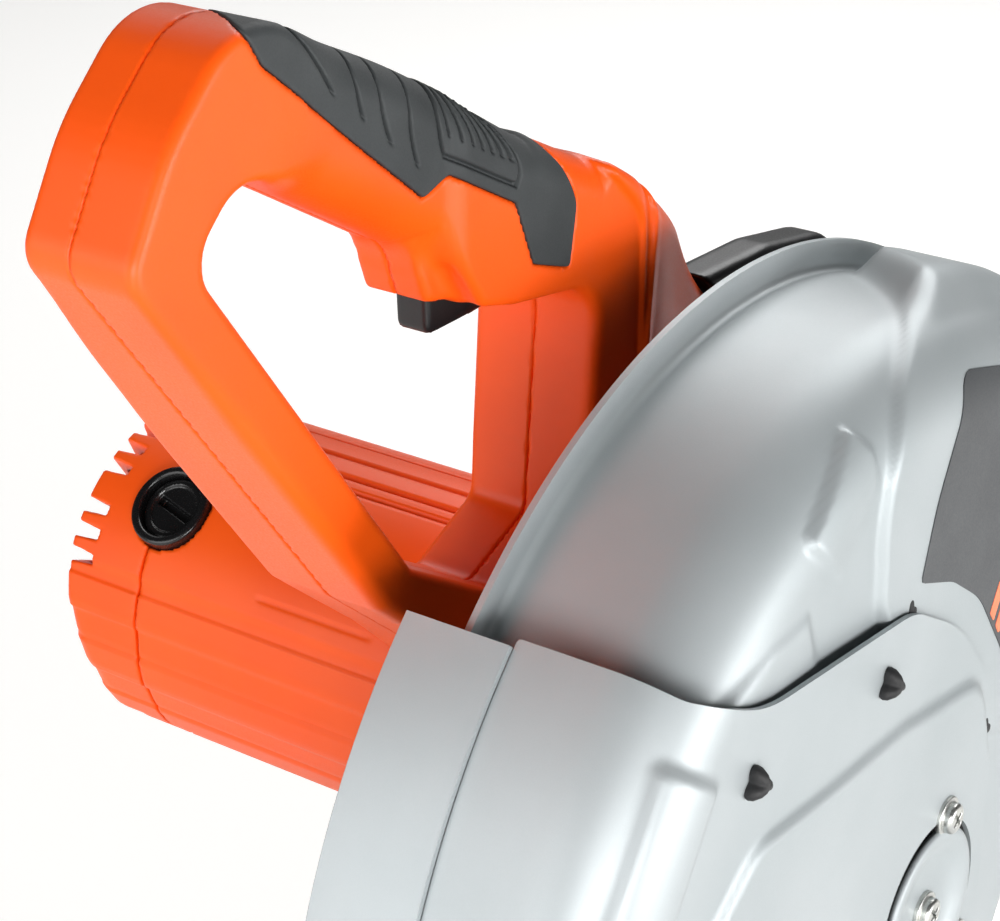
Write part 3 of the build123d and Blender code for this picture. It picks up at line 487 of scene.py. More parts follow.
def housing_field(x, y, z):
    """Motor housing: faceted sleeve with fine flutes on top and a groove in front."""
    radius, angle = motor_polar(y, z)
    wall = faceted_radius(angle)
    middle = 1 - ease(np.abs(x + 142), 68, 71)
    for flute in FLUTES:
        wall = wall - 1.5 * notch(np.abs(angle - flute), 0.9) * middle
    seam = 1 - ease(np.abs(x + 148), 21, 24)
    wall = wall - 0.9 * notch(np.abs(angle - 150.6), 0.5) * seam
    outer = pulled(radius - wall, MOTOR_SEAM + 0.35 - x, 0.8)
    outer = np.maximum(outer, x - MOTOR_START)
    bore = radius - (MOTOR_RADIUS - MOTOR_WALL)
    return soft_cut(np.maximum(outer, -bore), brush_hole(x, y, z), 0.5)


def end_cap_field(x, y, z):
    """Rear cap of the motor with vent slots through its rim."""
    radius, angle = motor_polar(y, z)
    rim = 1.6 + 10.4 * ease(angle, 158, 205) * (1 - ease(angle, 262, 285))
    outer = pulled(radius - faceted_radius(angle), MOTOR_END - x, rim)
    outer = np.maximum(outer, x - MOTOR_SEAM + 0.35)
    bore = pulled(radius - (MOTOR_RADIUS - MOTOR_WALL), MOTOR_END + 4 - x, 3.0)
    cap = np.maximum(outer, -bore)
    side = (angle - BRUSH_ANGLE + 90) % 180 - 90
    beside = np.abs(side) - SLOT_GAP
    across = np.abs(beside % SLOT_PITCH - SLOT_PITCH / 2) * np.radians(radius)
    across = across - SLOT_HALF * (1 - 0.035 * (x - MOTOR_END))
    slot = np.maximum(across, x - (MOTOR_END + SLOT_DEPTH))
    slot = np.maximum(slot, 34 - radius)
    slot = np.maximum(slot, np.radians(radius) * np.maximum(-beside, beside - SLOTS_A_SIDE * SLOT_PITCH))
    return soft_cut(soft_cut(cap, slot, 0.7), brush_hole(x, y, z), 0.5)


# ---- guards -------------------------------------------------------------
class DishedSheet:
    """Dished guard surface unrolled to a flat plane: face, shoulder, drum and turned-out flange."""

    def __init__(self, face, rounding, drum, back, flange=0.0, corner=3.0):
        self.face, self.rounding, self.corner = face, rounding, corner
        self.flat = drum - rounding
        self.shoulder = self.flat + math.pi / 2 * rounding
        reach = face - rounding - back - (corner if flange else 0)
        self.drum_end = self.shoulder + reach
        self.corner_end = self.drum_end + (math.pi / 2 * corner if flange else 0)
        self.end = self.corner_end + (flange - drum - corner if flange else 0)

    def profile(self, run):
        """Station, radius and outward normal at a distance from the middle along the sheet."""
        bend = np.clip((run - self.flat) / self.rounding, 0, math.pi / 2)
        down = np.clip(run - self.shoulder, 0, self.drum_end - self.shoulder)
        x = self.face - self.rounding * (1 - np.cos(bend)) - down
        radius = np.minimum(run, self.flat) + self.rounding * np.sin(bend)
        turn = np.clip((run - self.drum_end) / self.corner, 0, math.pi / 2)
        x = x - self.corner * np.sin(turn)
        radius = radius + self.corner * (1 - np.cos(turn)) + np.clip(run - self.corner_end, 0, None)
        lean = bend - turn
        return x, radius, np.cos(lean), np.sin(lean)

    def place(self, u, v, height):
        """Points in space over flat-plane places, raised along the surface's normal."""
        run, angle = np.hypot(u, v), np.arctan2(v, u)
        x, radius, across, outward = self.profile(run)
        radius = radius + height * outward
        return np.stack([x + height * across, radius * np.cos(angle), radius * np.sin(angle)], axis=1)


def flat_pattern(inside, runs, columns):
    """Places (run, angle) and faces of a polar grid where inside(u, v) is negative, cut cleanly."""
    angles = 2 * math.pi * np.arange(columns) / columns
    value = inside(runs[:, None] * np.cos(angles), runs[:, None] * np.sin(angles)) + 1e-7
    solid = value < 0
    places, names, faces = [], {}, []

    def place(key, run, angle):
        if key not in names:
            names[key] = len(places)
            places.append((run, angle))
        return names[key]

    after = np.roll(solid, -1, axis=1)
    touched = solid[:-1] | solid[1:] | after[:-1] | after[1:]
    for i, j in np.argwhere(touched):
        corners = [(i, j), (i + 1, j), (i + 1, j + 1), (i, j + 1)]
        face = []
        for a, b in zip(corners, corners[1:] + corners[:1]):
            here, there = (a[0], a[1] % columns), (b[0], b[1] % columns)
            if solid[here]:
                face.append(place(here, runs[a[0]], 2 * math.pi * a[1] / columns))
            if solid[here] != solid[there]:
                low, high = (a, b) if a < b else (b, a)
                first, last = (low[0], low[1] % columns), (high[0], high[1] % columns)
                share = min(max(value[first] / (value[first] - value[last]), 0.02), 0.98)
                run = runs[low[0]] + share * (runs[high[0]] - runs[low[0]])
                angle = 2 * math.pi * (low[1] + share * (high[1] - low[1])) / columns
                face.append(place((first, last), run, angle))
        if len(face) > 2:
            faces.append(face)
    return np.array(places), faces


def sheet_metal(name, dish, inside, relief, thickness, body, material, step=1.6, span=None):
    """Pressed sheet: the flat pattern laid on its dished form, with a back and an edge all round."""
    step = step * 1
    low, high = span or (1.0, dish.end)
    corner = np.arange(max(low, dish.drum_end - 1), min(high, dish.end), step / 3)
    runs = np.unique(np.round(np.concatenate([np.arange(low, high, step), corner, [high + 0.001]]), 3))
    runs = runs[np.concatenate([np.diff(runs) > 0.2, [True]])]
    columns = int(2 * math.pi * 0.85 * dish.end / step)
    places, faces = flat_pattern(inside, runs, columns)
    flat = places[:, 0] * np.array((np.cos(places[:, 1]), np.sin(places[:, 1])))
    height = relief(*flat)
    front = dish.place(*flat, height)
    back = dish.place(*flat, height - thickness)
    count = len(places)
    sides = {}
    for face in faces:
        for a, b in zip(face, face[1:] + face[:1]):
            if (b, a) in sides:
                del sides[(b, a)]
            else:
                sides[(a, b)] = True
    whole = [list(face) for face in faces]
    whole += [[index + count for index in reversed(face)] for face in faces]
    whole += [[b, a, a + count, b + count] for a, b in sides]
    piece = add_piece(name, np.concatenate([front, back]), whole, body, material)
    piece.data.set_sharp_from_angle(angle=math.radians(50))
    return piece


def inside_angles(u, v, start, end):
    """Distance outside a sector between two angles in degrees, negative within it."""
    middle, half = math.radians((start + end) / 2), math.radians((end - start) / 2)
    run = np.hypot(u, v)
    away = np.abs((np.arctan2(v, u) - middle + math.pi) % (2 * math.pi) - math.pi) - half
    return run * np.sin(np.clip(away, -math.pi / 2, math.pi / 2))


def pressed(corners, u, v, height, slope):
    """Raised panel with flat top and sloping sides."""
    return height * ease(-outline_distance(rounded_outline(corners), u, v), 0, slope)


FIXED_SHEET = DishedSheet(40.0, 26.0, 183.0, -22.9, flange=192.4)
FIXED_FROM, FIXED_TO = -20.0, 170.0
FIXED_THICKNESS = 2.0
MOVING_SHEET = DishedSheet(45.0, 25.0, 196.0, -7.3)
MOVING_THICKNESS = 1.6
BAND_FROM, BAND_TO = 135.5, 285.0
HUB_DISC = 84.0
FIXED_HOLE = 28.5
MOVING_HOLE = 30.0


def fixed_pattern(u, v):
    """Flat pattern of the fixed guard: a sector and the hub disc, with the middle hole."""
    run = np.hypot(u, v)
    sector = np.maximum(inside_angles(u, v, FIXED_FROM, FIXED_TO), run - FIXED_SHEET.end)
    return np.maximum(np.minimum(sector, run - HUB_DISC), FIXED_HOLE - run)


BULGE = rounded_outline([(-36, 118, 8), (-37.5, 148, 60), (-31, 167, 60), (-15, 180, 60), (15, 195.5, 8),
                         (37, 209, 60), (76, 232, 10), (160, 200, 60), (225, 110, 60), (225, 20, 20),
                         (168, 20, 30), (60, 30, 20), (-10, 60, 20)])
WEDGE = rounded_outline([(-43, 176, 2), (-75.5, 152, 4), (-52, 130, 4), (-38, 134, 4), (-36, 166, 4)])
CREASE = rounded_outline([(-73, 134.5, 3), (-93, 132.8, 20), (-117, 124, 3), (-112, 100, 3), (-60, 100, 3)])
PANEL_HEIGHT = 2.4
BULGE_HEIGHT = 9.6


def fixed_relief(u, v):
    """Pressings of the fixed guard: the badge panel that bulges over the drum, a wedge and a long crease."""
    run = np.hypot(u, v)
    on_drum = ease(run, 184, 200)
    depth = -outline_distance(BULGE, u, v)
    panel = PANEL_HEIGHT * ease(depth, 0, 4) * (1 - on_drum) + BULGE_HEIGHT * ease(depth, 0, 15) * on_drum
    panel = panel * (1 - ease(run, FIXED_SHEET.drum_end - 9, FIXED_SHEET.drum_end - 1))
    across = (u + 43) * 0.6 - (v - 176) * 0.8
    wedge = 2.2 * ease(-outline_distance(WEDGE, u, v), 0, 2.6) * (1 - ease(across, 4, 26))
    crease = 1.5 * ease(-outline_distance(CREASE, u, v), 0, 4.5) * ease(run, 118, 150)
    return np.maximum(np.maximum(panel, wedge), crease * (depth < 0))


MOVING_SIDE = SideShape([(-215, 217.3, 0), (-132.5, 134, 9), (-102, 118.9, 60), (-18.5, 110.2, 30),
                         (13, 91.5, 80), (37.5, 62.1, 4), (37.5, -240, 0), (-260, -240, 0), (-260, 217.3, 0)])


def moving_pattern(u, v):
    """Flat pattern of the moving guard, from its wave edge down to its rear edge."""
    run = np.maximum(np.hypot(u, v), 1e-9)
    radius = MOVING_SHEET.profile(run)[1]
    side = MOVING_SIDE(u * radius / run, v * radius / run)
    return np.maximum(np.maximum(side, run - MOVING_SHEET.end), MOVING_HOLE - run)


def moving_relief(u, v):
    """Pressings of the moving guard: a slanting panel and the raised ground round the hub."""
    panel = pressed([(-146, 126, 5), (-124, 110, 5), (-150, 70, 8), (-190, 60, 8)], u, v, 2.2, 5.0)
    hub = pressed([(-22, 78, 14), (-68, 80, 40), (-106, 83, 22), (-150, 52, 20), (-170, -60, 30),
                   (-60, -150, 30), (30, -140, 20), (60, -20, 20), (30, 70, 20)], u, v, 2.4, 4.5)
    return np.maximum(panel, hub) * (1 - ease(np.hypot(u, v), 186, 200))


def make_guards():
    """Both guards as pressed sheets, and the moving guard's band."""
    fixed = sheet_metal("upper_guard_pressing", FIXED_SHEET, fixed_pattern, fixed_relief, FIXED_THICKNESS,
                        "head", SILVER)
    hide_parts("upper_guard")
    moving = sheet_metal("lower_guard_pressing", MOVING_SHEET, moving_pattern, moving_relief,
                         MOVING_THICKNESS, "lower_guard", SILVER)
    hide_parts("lower_guard_dish")
    profile = [(-40, 196.6), (-40, 197.6), (-39.6, 198), (-8.4, 198), (-7.6, 197.7), (-7.3, 197),
               (-7.35, 196.3), (-8, 196.1), (-9, 196.6)]
    band = lathe("lower_guard_band_rolled", profile, BAND_FROM, BAND_TO, "lower_guard", SILVER)
    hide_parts("lower_guard_band")


def lathe(name, profile, start, end, body, material, spacing=1.5):
    """Closed profile of (x, radius) points swept about the spindle between two angles."""
    whole = end - start > 359
    count = int((end - start) / spacing)
    angles = np.radians(start + (end - start) * np.arange(count + (0 if whole else 1)) / count)
    points = [(x, radius * math.cos(a), radius * math.sin(a)) for a in angles for x, radius in profile]
    size = len(profile)
    faces = []
    for ring in range(count):
        base, there = ring * size, ((ring + 1) % len(angles)) * size
        for k in range(size):
            faces.append([base + k, base + (k + 1) % size, there + (k + 1) % size, there + k])
    if not whole:
        faces.append(list(range(size))[::-1])
        faces.append([(len(angles) - 1) * size + k for k in range(size)])
    piece = add_piece(name, points, faces, body, material)
    piece.data.set_sharp_from_angle(angle=math.radians(40))
    return piece


# ---- materials ----------------------------------------------------------
def tint(red, green, blue):
    """Linear colour from display values 0 to 255."""
    return tuple((c / 255 / 12.92) if c < 10.3 else ((c / 255 + 0.055) / 1.055) ** 2.4
                 for c in (red, green, blue)) + (1.0,)


def node(tree, kind, **values):
    """New shader node with its properties and socket values set."""
    made = tree.nodes.new(kind)
    for key, value in values.items():
        if hasattr(made, key):
            setattr(made, key, value)
        else:
            made.inputs[key.replace("_", " ")].default_value = value
    return made


def finish(name, dark, light, roughness, metallic=0.0, patch=60.0, grain=900.0, bump=0.05, spread=0.06,
           depth=0.0002, coat=0.0, specular=0.5, speck=None):
    """Material whose colour drifts in patches, with fine grain in its relief and roughness."""
    material = bpy.data.materials.new(name)
    material.use_nodes = True
    tree = material.node_tree
    shader = tree.nodes["Principled BSDF"]
    link = tree.links.new
    place = node(tree, "ShaderNodeTexCoord").outputs["Object"]
    broad = node(tree, "ShaderNodeTexNoise", Scale=patch, Detail=4.0)
    fine = node(tree, "ShaderNodeTexNoise", Scale=grain, Detail=3.0)
    link(place, broad.inputs["Vector"])
    link(place, fine.inputs["Vector"])
    ramp = node(tree, "ShaderNodeValToRGB")
    ramp.color_ramp.elements[0].position, ramp.color_ramp.elements[1].position = 0.32, 0.68
    ramp.color_ramp.elements[0].color, ramp.color_ramp.elements[1].color = dark, light
    link(broad.outputs["Fac"], ramp.inputs["Fac"])
    colour = ramp.outputs["Color"]
    if speck:
        share, speck_colour = speck
        step = node(tree, "ShaderNodeMapRange", From_Min=0.60, From_Max=0.66)
        step.inputs["To Max"].default_value = share
        link(fine.outputs["Fac"], step.inputs["Value"])
        mix = node(tree, "ShaderNodeMix", data_type="RGBA")
        mix.inputs[7].default_value = speck_colour
        link(step.outputs["Result"], mix.inputs["Factor"])
        link(colour, mix.inputs[6])
        colour = mix.outputs[2]
    link(colour, shader.inputs["Base Color"])
    rough = node(tree, "ShaderNodeMapRange", From_Min=0.3, From_Max=0.7)
    rough.inputs["To Min"].default_value = max(0.02, roughness - spread)
    rough.inputs["To Max"].default_value = min(1.0, roughness + spread)
    link(fine.outputs["Fac"], rough.inputs["Value"])
    link(rough.outputs["Result"], shader.inputs["Roughness"])
    relief = node(tree, "ShaderNodeBump", Strength=bump, Distance=depth)
    link(fine.outputs["Fac"], relief.inputs["Height"])
    link(relief.outputs["Normal"], shader.inputs["Normal"])
    shader.inputs["Metallic"].default_value = metallic
    shader.inputs["Specular IOR Level"].default_value = specular
    shader.inputs["Coat Weight"].default_value = coat
    shader.inputs["Coat Roughness"].default_value = 0.25
    return material


SILVER = finish("silver_paint", tint(167, 174, 176), tint(177, 183, 185), 0.50, metallic=0.40, patch=14.0,
                grain=2600.0, bump=0.22, depth=0.00008, coat=0.12)
ORANGE = finish("orange_plastic", tint(248, 84, 8), tint(252, 91, 12), 0.42, patch=20.0, grain=1500.0,
                bump=0.10, depth=0.0001, specular=0.34)
CASTING = finish("orange_casting", tint(214, 66, 14), tint(232, 78, 20), 0.48, patch=40.0, grain=700.0,
                 bump=0.3, depth=0.0003)
RUBBER = finish("grip_rubber", tint(52, 55, 56), tint(60, 63, 64), 0.64, patch=50.0, grain=1800.0, bump=0.35,
                depth=0.00012, specular=0.35)
BLACK_RUBBER = finish("black_rubber", tint(24, 24, 25), tint(34, 34, 35), 0.6, grain=1500.0, bump=0.3)
BLACK_PLASTIC = finish("black_plastic", tint(20, 20, 21), tint(28, 28, 29), 0.38, grain=1400.0, bump=0.12)
GLOSS_PLASTIC = finish("gloss_black_plastic", tint(14, 14, 15), tint(20, 20, 21), 0.24, grain=1400.0,
                       bump=0.06)
BLACK_STEEL = finish("black_steel", tint(26, 27, 28), tint(38, 39, 40), 0.45, metallic=0.3, grain=1200.0,
                     bump=0.2)
BRIGHT = finish("bright_steel", tint(180, 180, 178), tint(200, 200, 198), 0.28, metallic=1.0, grain=2000.0,
                bump=0.1)
ZINC = finish("zinc_steel", tint(190, 192, 190), tint(214, 214, 208), 0.32, metallic=0.95, patch=200.0,
              grain=1500.0, bump=0.12)
IRON = finish("cast_iron", tint(52, 53, 54), tint(74, 75, 76), 0.62, metallic=0.4, patch=120.0, grain=800.0,
              bump=0.5, depth=0.0004)
DECK = finish("painted_deck", tint(40, 42, 44), tint(52, 54, 56), 0.5, patch=30.0, grain=900.0, bump=0.3,
              speck=(0.5, tint(70, 72, 74)))
CARBON = finish("carbon", tint(24, 24, 24), tint(40, 40, 40), 0.55)
LAMINATIONS = finish("laminations", tint(92, 94, 98), tint(116, 118, 122), 0.4, metallic=0.8, grain=1200.0)
COPPER = finish("copper", tint(176, 100, 66), tint(200, 122, 84), 0.3, metallic=1.0)
ABRASIVE = finish("abrasive", tint(48, 44, 42), tint(70, 64, 60), 0.85, patch=300.0, grain=1400.0, bump=1.0,
                  depth=0.0006, speck=(0.8, tint(126, 118, 110)))
BADGE = finish("badge", tint(66, 68, 70), tint(74, 76, 78), 0.5, grain=2000.0, bump=0.04)
BADGE_BAR = finish("badge_bar", tint(246, 120, 78), tint(252, 130, 88), 0.45, grain=2000.0, bump=0.04)

BY_SLOT = {"guard_silver": SILVER, "orange_plastic": ORANGE, "orange_casting": CASTING, "grip_rubber": RUBBER,
           "black_rubber": BLACK_RUBBER, "black_plastic": BLACK_PLASTIC, "black_steel": BLACK_STEEL,
           "bright_steel": BRIGHT, "zinc_steel": ZINC, "cast_iron": IRON, "painted_deck": DECK,
           "carbon": CARBON, "laminations": LAMINATIONS, "copper": COPPER, "abrasive": ABRASIVE,
           "badge": BADGE}


# ---- CAD nodes that stay ------------------------------------------------
BEVELS = {"pivot_bracket": 1.2, "arm": 1.2, "gear_case": 1.0, "gear_case_cover": 1.0, "base_plate": 1.0,
          "fence": 0.6, "vise_block": 1.0, "vise_jaw": 1.0, "vise_crank": 1.0, "release_lever": 0.5,
          "spark_deflector": 0.4, "guard_hub": 0.4, "guard_back_plate": 0.4, "wheel_flanges": 0.6,
          "spindle": 0.4, "rubber_feet": 1.0, "deck_bolts": 0.3, "spindle_bolt": 0.4, "depth_stop": 0.4,
          "back_plate_bolts": 0.4, "spindle_lock_button": 0.5, "hinge_pins": 0.4, "abrasive_wheel": 0.3,
          "end_cap_screws": 0.3, "deflector_blocks": 0.5}
SMOOTH_ANGLE = 35


def dress_cad_nodes():
    """Give every CAD node its material, smooth shading with crisp edges, and broken edges."""
    slots = {row["node"]: row["material_slot"] for row in frame["record"]["subparts"]}
    for name, piece in frame["nodes"].items():
        piece.data.materials.clear()
        piece.data.materials.append(BY_SLOT[slots[name]])
        piece.data.polygons.foreach_set("material_index", [0] * len(piece.data.polygons))
        piece.data.polygons.foreach_set("use_smooth", [True] * len(piece.data.polygons))
        piece.data.set_sharp_from_angle(angle=math.radians(SMOOTH_ANGLE))
        if name in BEVELS:
            bevel = piece.modifiers.new("broken_edges", "BEVEL")
            bevel.width = BEVELS[name] * MM
            bevel.segments = 2
            bevel.limit_method = "ANGLE"
            bevel.angle_limit = math.radians(SMOOTH_ANGLE)
            bevel.harden_normals = True


dress_cad_nodes()


# ---- pieces -------------------------------------------------------------
def shell_half(side):
    """Field of one handle shell: 1 for the half nearer the wheel, -1 for the far half."""
    def field(x, y, z):
        body = shell_field(x, y, z)
        if side < 0:
            body = soft_cut(body, counterbores(x, y, z, handle_field(x, y, z)), 0.4)
        body = np.maximum(body, 0.12 - side * (x - HANDLE_X))
        return soft_cut(body, trigger_slot(x, y, z), 0.6)
    return field


def make_handle_screws():
    """Cross-recessed screws in the far shell's wells."""
    points, faces = [], []
    turns = 24
    profile = ((6.0, 0.0), (6.0, 2.2), (0.0, 2.2), (0.0, 3.9), (-1.2, 3.9), (-1.9, 3.2), (-2.2, 1.6),
               (-1.2, 0.9), (-1.0, 0.0))
    for y, z in HANDLE_SCREWS:
        stations = np.arange(-112, HANDLE_X - 5, 0.1)
        surface = stations[np.argmax(handle_field(stations, y, z) < 0)]
        start = len(points)
        for x, radius in profile:
            for step in range(turns):
                angle = 2 * math.pi * step / turns
                pinch = 1 - 0.3 * (radius == 1.6) * (1 + math.cos(4 * angle))
                points.append((surface + SCREW_SINK + x - 0.05, y + radius * pinch * math.cos(angle),
                               z + radius * pinch * math.sin(angle)))
        faces += [face[::-1] for face in turned_faces(len(profile), turns, start)]
    piece = add_piece("handle_screws_sunk", points, faces, "head", ZINC)
    piece.data.set_sharp_from_angle(angle=math.radians(40))
    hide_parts("handle_screws")


def make_handle():
    """Both shells, the rubber skin, the trigger and the carry loop."""
    right = add_skin("handle_right_shell_moulded", shell_half(1), (-86.5, -213, 15), (-60, 98, 303), 1.1,
                     "head", ORANGE)
    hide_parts("handle_right_shell")
    left = add_skin("handle_left_shell_moulded", shell_half(-1), (-111, -213, 15), (-84.5, 98, 303), 1.1,
                    "head", ORANGE)
    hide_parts("handle_left_shell")
    grip = add_skin("grip_overmold_ribbed", overmold_field, (-108, -170, 188), (-62, -26, 302), 0.5,
                    "head", RUBBER)
    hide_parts("grip_overmold")
    trigger = add_skin("trigger_moulded", trigger_field, (-95, -101, 184), (-75, -52, 214), 0.8,
                       "trigger", BLACK_PLASTIC)
    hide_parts("trigger")
    carry = add_skin("carry_handle_moulded", carry_field, (-95, 38, 22), (-75, 184, 160), 1.3,
                     "head", BLACK_PLASTIC)
    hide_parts("carry_handle")


def make_motor():
    """Motor housing and its slotted end cap."""
    reach = MOTOR_RADIUS + 2
    low, high = (MOTOR_Y - reach, MOTOR_Z - reach), (MOTOR_Y + reach, MOTOR_Z + reach)
    housing = add_skin("motor_housing_moulded", housing_field, (MOTOR_SEAM - 1,) + low,
                       (MOTOR_START + 1,) + high, 1.2, "head", ORANGE)
    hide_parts("motor_housing")
    cap = add_skin("motor_end_cap_moulded", end_cap_field, (MOTOR_END - 1,) + low, (MOTOR_SEAM + 1,) + high,
                   0.9, "head", ORANGE)
    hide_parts("motor_end_cap")


def badge_pattern(u, v):
    """Flat pattern of the data plate on the fixed guard."""
    corners = [(-11.5, 115.5, 2), (-4.5, 138, 60), (12.5, 170.5, 7), (60, 158, 200), (128, 112, 8),
               (150, 76, 7), (60, 44, 3), (50, 66, 40), (30, 93, 40), (10, 107, 30)]
    return outline_distance(rounded_outline(corners), u, v)


def badge_bars(u, v):
    """Plain slanting bars on the data plate."""
    along, across = u * 0.5 + v * 0.87, u * 0.87 - v * 0.5
    bar = np.maximum(np.abs((across + 10.4) % 7.4 - 3.7) - 2.3, np.abs(across - 1.4) - 10.4)
    return np.maximum(np.maximum(bar, np.abs(along - 90) - 13), badge_pattern(u, v) + 1.2)


def make_badge():
    """Thin blank plate pressed onto the guard, with plain bars on it."""
    plate = sheet_metal("guard_badge_plate", FIXED_SHEET, badge_pattern,
                        lambda u, v: fixed_relief(u, v) + 0.35, 0.5, "head", BADGE, span=(60, 185))
    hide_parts("guard_badge")
    bars = sheet_metal("guard_badge_bars", FIXED_SHEET, badge_bars,
                       lambda u, v: fixed_relief(u, v) + 0.5, 0.3, "head", BADGE_BAR, span=(70, 140))


BUMPERS = ((-34, 95), (-108, 101))
BUMPER_PROFILE = ((-1.5, 3.0), (0.0, 3.4), (0.0, 4.7), (0.8, 5.0), (2.2, 4.7), (4.0, 3.3), (4.8, 2.0),
                  (5.1, 0.0))
PADS = ((-16, 108.5), (44, 41))
PAD_PROFILE = ((0.0, 3.4), (0.0, 5.0), (1.2, 5.0), (2.2, 4.2), (2.7, 2.4), (2.8, 0.0))


def lobed_rubbers(name, places, seat, profile, body, node_name):
    """Three-lobed rubber buttons standing on a guard's face."""
    points, faces = [], []
    turns = 42
    for y, z in places:
        start = len(points)
        for x, radius in profile:
            for step in range(turns):
                angle = 2 * math.pi * step / turns
                lobed = radius * (0.80 + 0.26 * math.cos(3 * angle + 1.31))
                points.append((seat + x, y + lobed * math.cos(angle), z + lobed * math.sin(angle)))
        faces += turned_faces(len(profile), turns, start)
        faces.append([start + step for step in range(turns)][::-1])
    piece = add_piece(name, points, faces, body, BLACK_RUBBER)
    piece.data.set_sharp_from_angle(angle=math.radians(50))
    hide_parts(node_name)


def make_rubbers():
    """Bumpers on the moving guard and rub pads on the fixed one."""
    lobed_rubbers("guard_bumpers_lobed", BUMPERS, MOVING_SHEET.face, BUMPER_PROFILE,
                  "lower_guard", "guard_bumpers")
    lobed_rubbers("rub_pads_lobed", PADS, FIXED_SHEET.face, PAD_PROFILE, "head", "rub_pads")


def brush_frame(turn):
    """Axes of a brush: the middle, outward, along X and across."""
    angle = math.radians(BRUSH_ANGLE + turn)
    out = np.array((0, math.cos(angle), math.sin(angle)))
    return np.array((BRUSH_X, MOTOR_Y, MOTOR_Z)), out, np.array((1.0, 0, 0)), np.cross(out, (1.0, 0, 0))


def bezel_field(out, radius):
    """Ring round a brush cap."""
    ring = np.abs(radius - 12.9) - 1.6
    return pulled(ring, np.abs(out - 53.4) - 7.2, 1.2)


def cap_field(out, radius, across):
    """Round cap with a raised rim edge and a coin slot."""
    disc = pulled(radius - 11.1, np.abs(out - 54.5) - 3.1, 0.8)
    dish = pulled(radius - 8.6, np.abs(out - 60.6) - 3.8, 0.6)
    slot = np.maximum(np.maximum(np.abs(across) - 1.5, radius - 7.6), 53.6 - out)
    return soft_cut(soft_cut(disc, dish, 0.5), slot, 0.4)


def make_brush_fittings():
    """Bezels and slotted caps of the two brushes."""
    for name, low, high, node_name in (("bezels", 46.0, 61.2, "brush_holders"),
                                       ("caps", 51, 58.4, "brush_caps")):
        points, faces, start = [], [], 0
        for turn in (0, 180):
            middle, out, along, across = brush_frame(turn)

            def local(a, b, c):
                radius = np.hypot(a, b)
                if node_name == "brush_holders":
                    return bezel_field(c, radius)
                return cap_field(c, radius, a * math.sin(0.25) + b * math.cos(0.25))

            some, quads = skin(local, (-15.2, -15.2, low), (15.2, 15.2, high), 0.55 * (1))
            placed = middle + some[:, :1] * along + some[:, 1:2] * across + some[:, 2:] * out
            points.append(placed)
            faces.append(quads[:, ::-1] + start)
            start += len(placed)
        piece = add_piece("brush_" + name + "_moulded", np.concatenate(points), np.concatenate(faces), "head",
                          GLOSS_PLASTIC)
        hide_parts(node_name)


def make_hub_cover():
    """Dished hub cover in the moving guard's hole, with a gap all round."""
    profile = [(46.3, 24.5), (46.3, 26.6), (47.4, 27.3), (48.2, 27.2), (48.7, 26.4), (48.8, 24.5),
               (48.4, 22.0), (47.3, 19.5), (46.4, 17.5), (46.1, 14.0), (46.0, 9.0), (46.0, 2.6),
               (44.4, 2.6), (44.4, 17.5)]
    cover = lathe("hub_cover_dished", profile, 0, 360, "head", SILVER, spacing=4)
    cover.data.set_sharp_from_angle(angle=math.radians(75))
    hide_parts("hub_cover")


def pan_screw_field(x, y, z):
    """Pan head screw with a washer, seated on x = 0, with a cross recess."""
    radius = np.hypot(y, z)
    washer = pulled(radius - 6.4, np.abs(x - 0.4) - 0.9, 0.4)
    head = pulled(radius - 4.9, np.abs(x - 2.0) - 2.1, 1.5)
    a, b = np.abs(y * 0.8 + z * 0.6), np.abs(z * 0.8 - y * 0.6)
    arm = np.minimum(np.maximum(a - 0.55, b - 2.7), np.maximum(b - 0.55, a - 2.7))
    return np.minimum(washer, soft_cut(head, np.maximum(arm, 2.6 - x), 0.3))


def make_hub_screws():
    """Screws round the hub and the one in the middle of its cover."""
    some, quads = skin(pan_screw_field, (-0.6, -6.8, -6.8), (4.6, 6.8, 6.8), 0.3 * (1))
    turns = [math.radians(turn) for turn in (74.5, 194.5, 314.5)]
    rim = [(47.3, 31.0 * math.cos(turn), 31.0 * math.sin(turn)) for turn in turns]
    for name, places, node_name in (("ring_screws_pan", rim, "ring_screws"),
                                    ("hub_cover_screw_pan", [(46.1, 0, 0)], "hub_cover_screw")):
        points = np.concatenate([some + np.array(place) for place in places])
        faces = np.concatenate([quads + len(some) * index for index in range(len(places))])
        piece = add_piece(name, points, faces, "head", ZINC)
        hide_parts(node_name)


make_rubbers()
make_brush_fittings()
make_hub_cover()
make_hub_screws()
make_handle()
make_handle_screws()
make_motor()
make_guards()
make_badge()


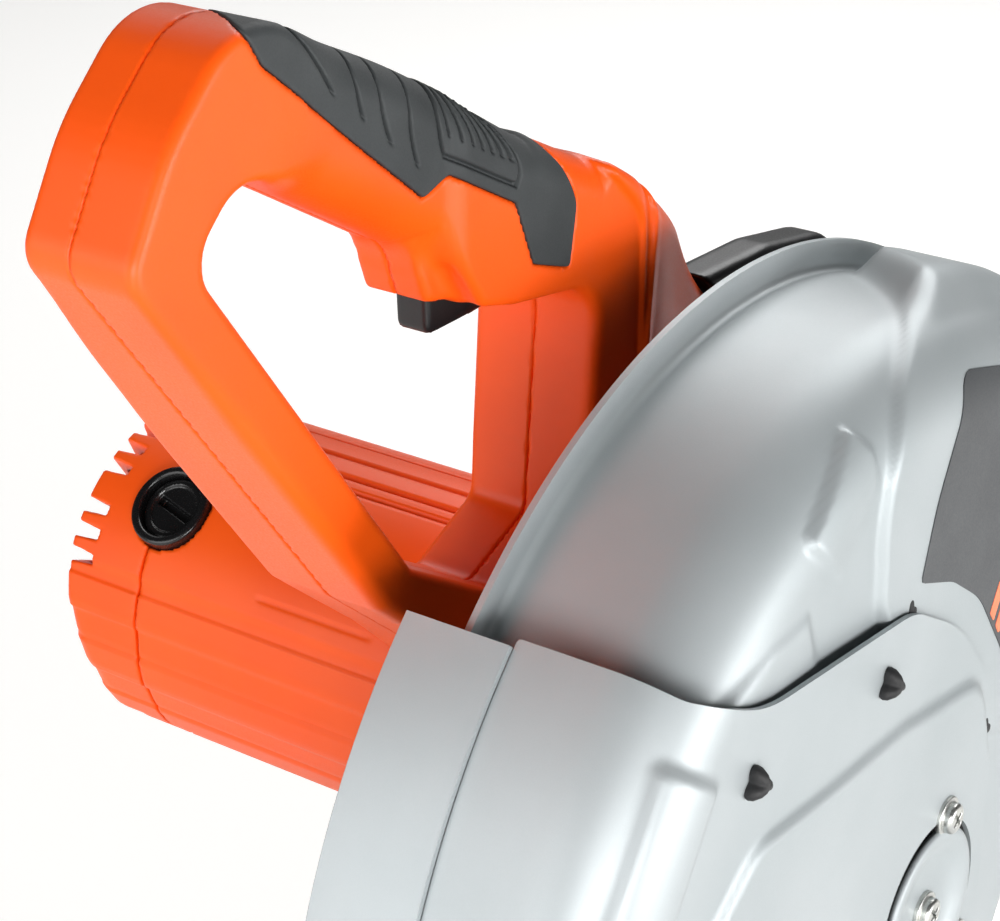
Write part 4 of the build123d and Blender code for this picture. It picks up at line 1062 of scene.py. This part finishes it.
# ---- studio -------------------------------------------------------------
def make_floor():
    """Plain pale floor."""
    half = 8.0
    corners = [(-half, -half, 0), (half, -half, 0), (half, half, 0), (-half, half, 0)]
    mesh = bpy.data.meshes.new("floor")
    mesh.from_pydata(corners, [], [(0, 1, 2, 3)])
    floor = bpy.data.objects.new("floor", mesh)
    bpy.context.scene.collection.objects.link(floor)
    paint = finish("studio_floor", tint(246, 245, 243), tint(248, 247, 245), 0.8, patch=0.6, grain=60.0,
                   bump=0.0, specular=0.1)
    shader = paint.node_tree.nodes["Principled BSDF"]
    shader.inputs["Emission Color"].default_value = (1.0, 0.995, 0.985, 1.0)
    shader.inputs["Emission Strength"].default_value = 0.22
    mesh.materials.append(paint)


def area_light(name, place, target, size, power):
    """Soft white rectangular light at a place, aimed at a target."""
    data = bpy.data.lights.new(name, "AREA")
    data.shape = "RECTANGLE"
    data.size, data.size_y = size
    data.energy = power
    light = bpy.data.objects.new(name, data)
    light.location = place
    light.rotation_euler = (Vector(target) - Vector(place)).to_track_quat("-Z", "Y").to_euler()
    bpy.context.scene.collection.objects.link(light)


def make_light():
    """Bright white room with soft boxes."""
    world = bpy.data.worlds.new("studio")
    world.use_nodes = True
    tree = world.node_tree
    split = node(tree, "ShaderNodeSeparateXYZ")
    tree.links.new(node(tree, "ShaderNodeTexCoord").outputs["Generated"], split.inputs["Vector"])
    room = node(tree, "ShaderNodeMapRange", From_Min=-0.9, From_Max=0.8)
    room.inputs["To Min"].default_value = 0.95
    room.inputs["To Max"].default_value = 0.75
    tree.links.new(split.outputs["X"], room.inputs["Value"])
    tree.links.new(room.outputs["Result"], tree.nodes["Background"].inputs["Strength"])
    bpy.context.scene.world = world
    head = (0.0, 0.03, 0.42)
    area_light("key", (1.45, -1.45, 0.66), head, (1.3, 0.6), 36)
    area_light("side", (2.2, 0.5, 0.35), head, (1.2, 0.6), 30)
    area_light("front", (-0.7, -2.0, 0.9), head, (2.0, 1.4), 27)
    area_light("behind", (-0.5, 1.9, 2.2), head, (1.8, 1.4), 36)
    area_light("backdrop", (-1.6, 2.6, 2.4), (-1.4, 2.2, 0.0), (3.5, 3.5), 42)
    bpy.context.scene.view_settings.view_transform = "Standard"


make_floor()
make_light()
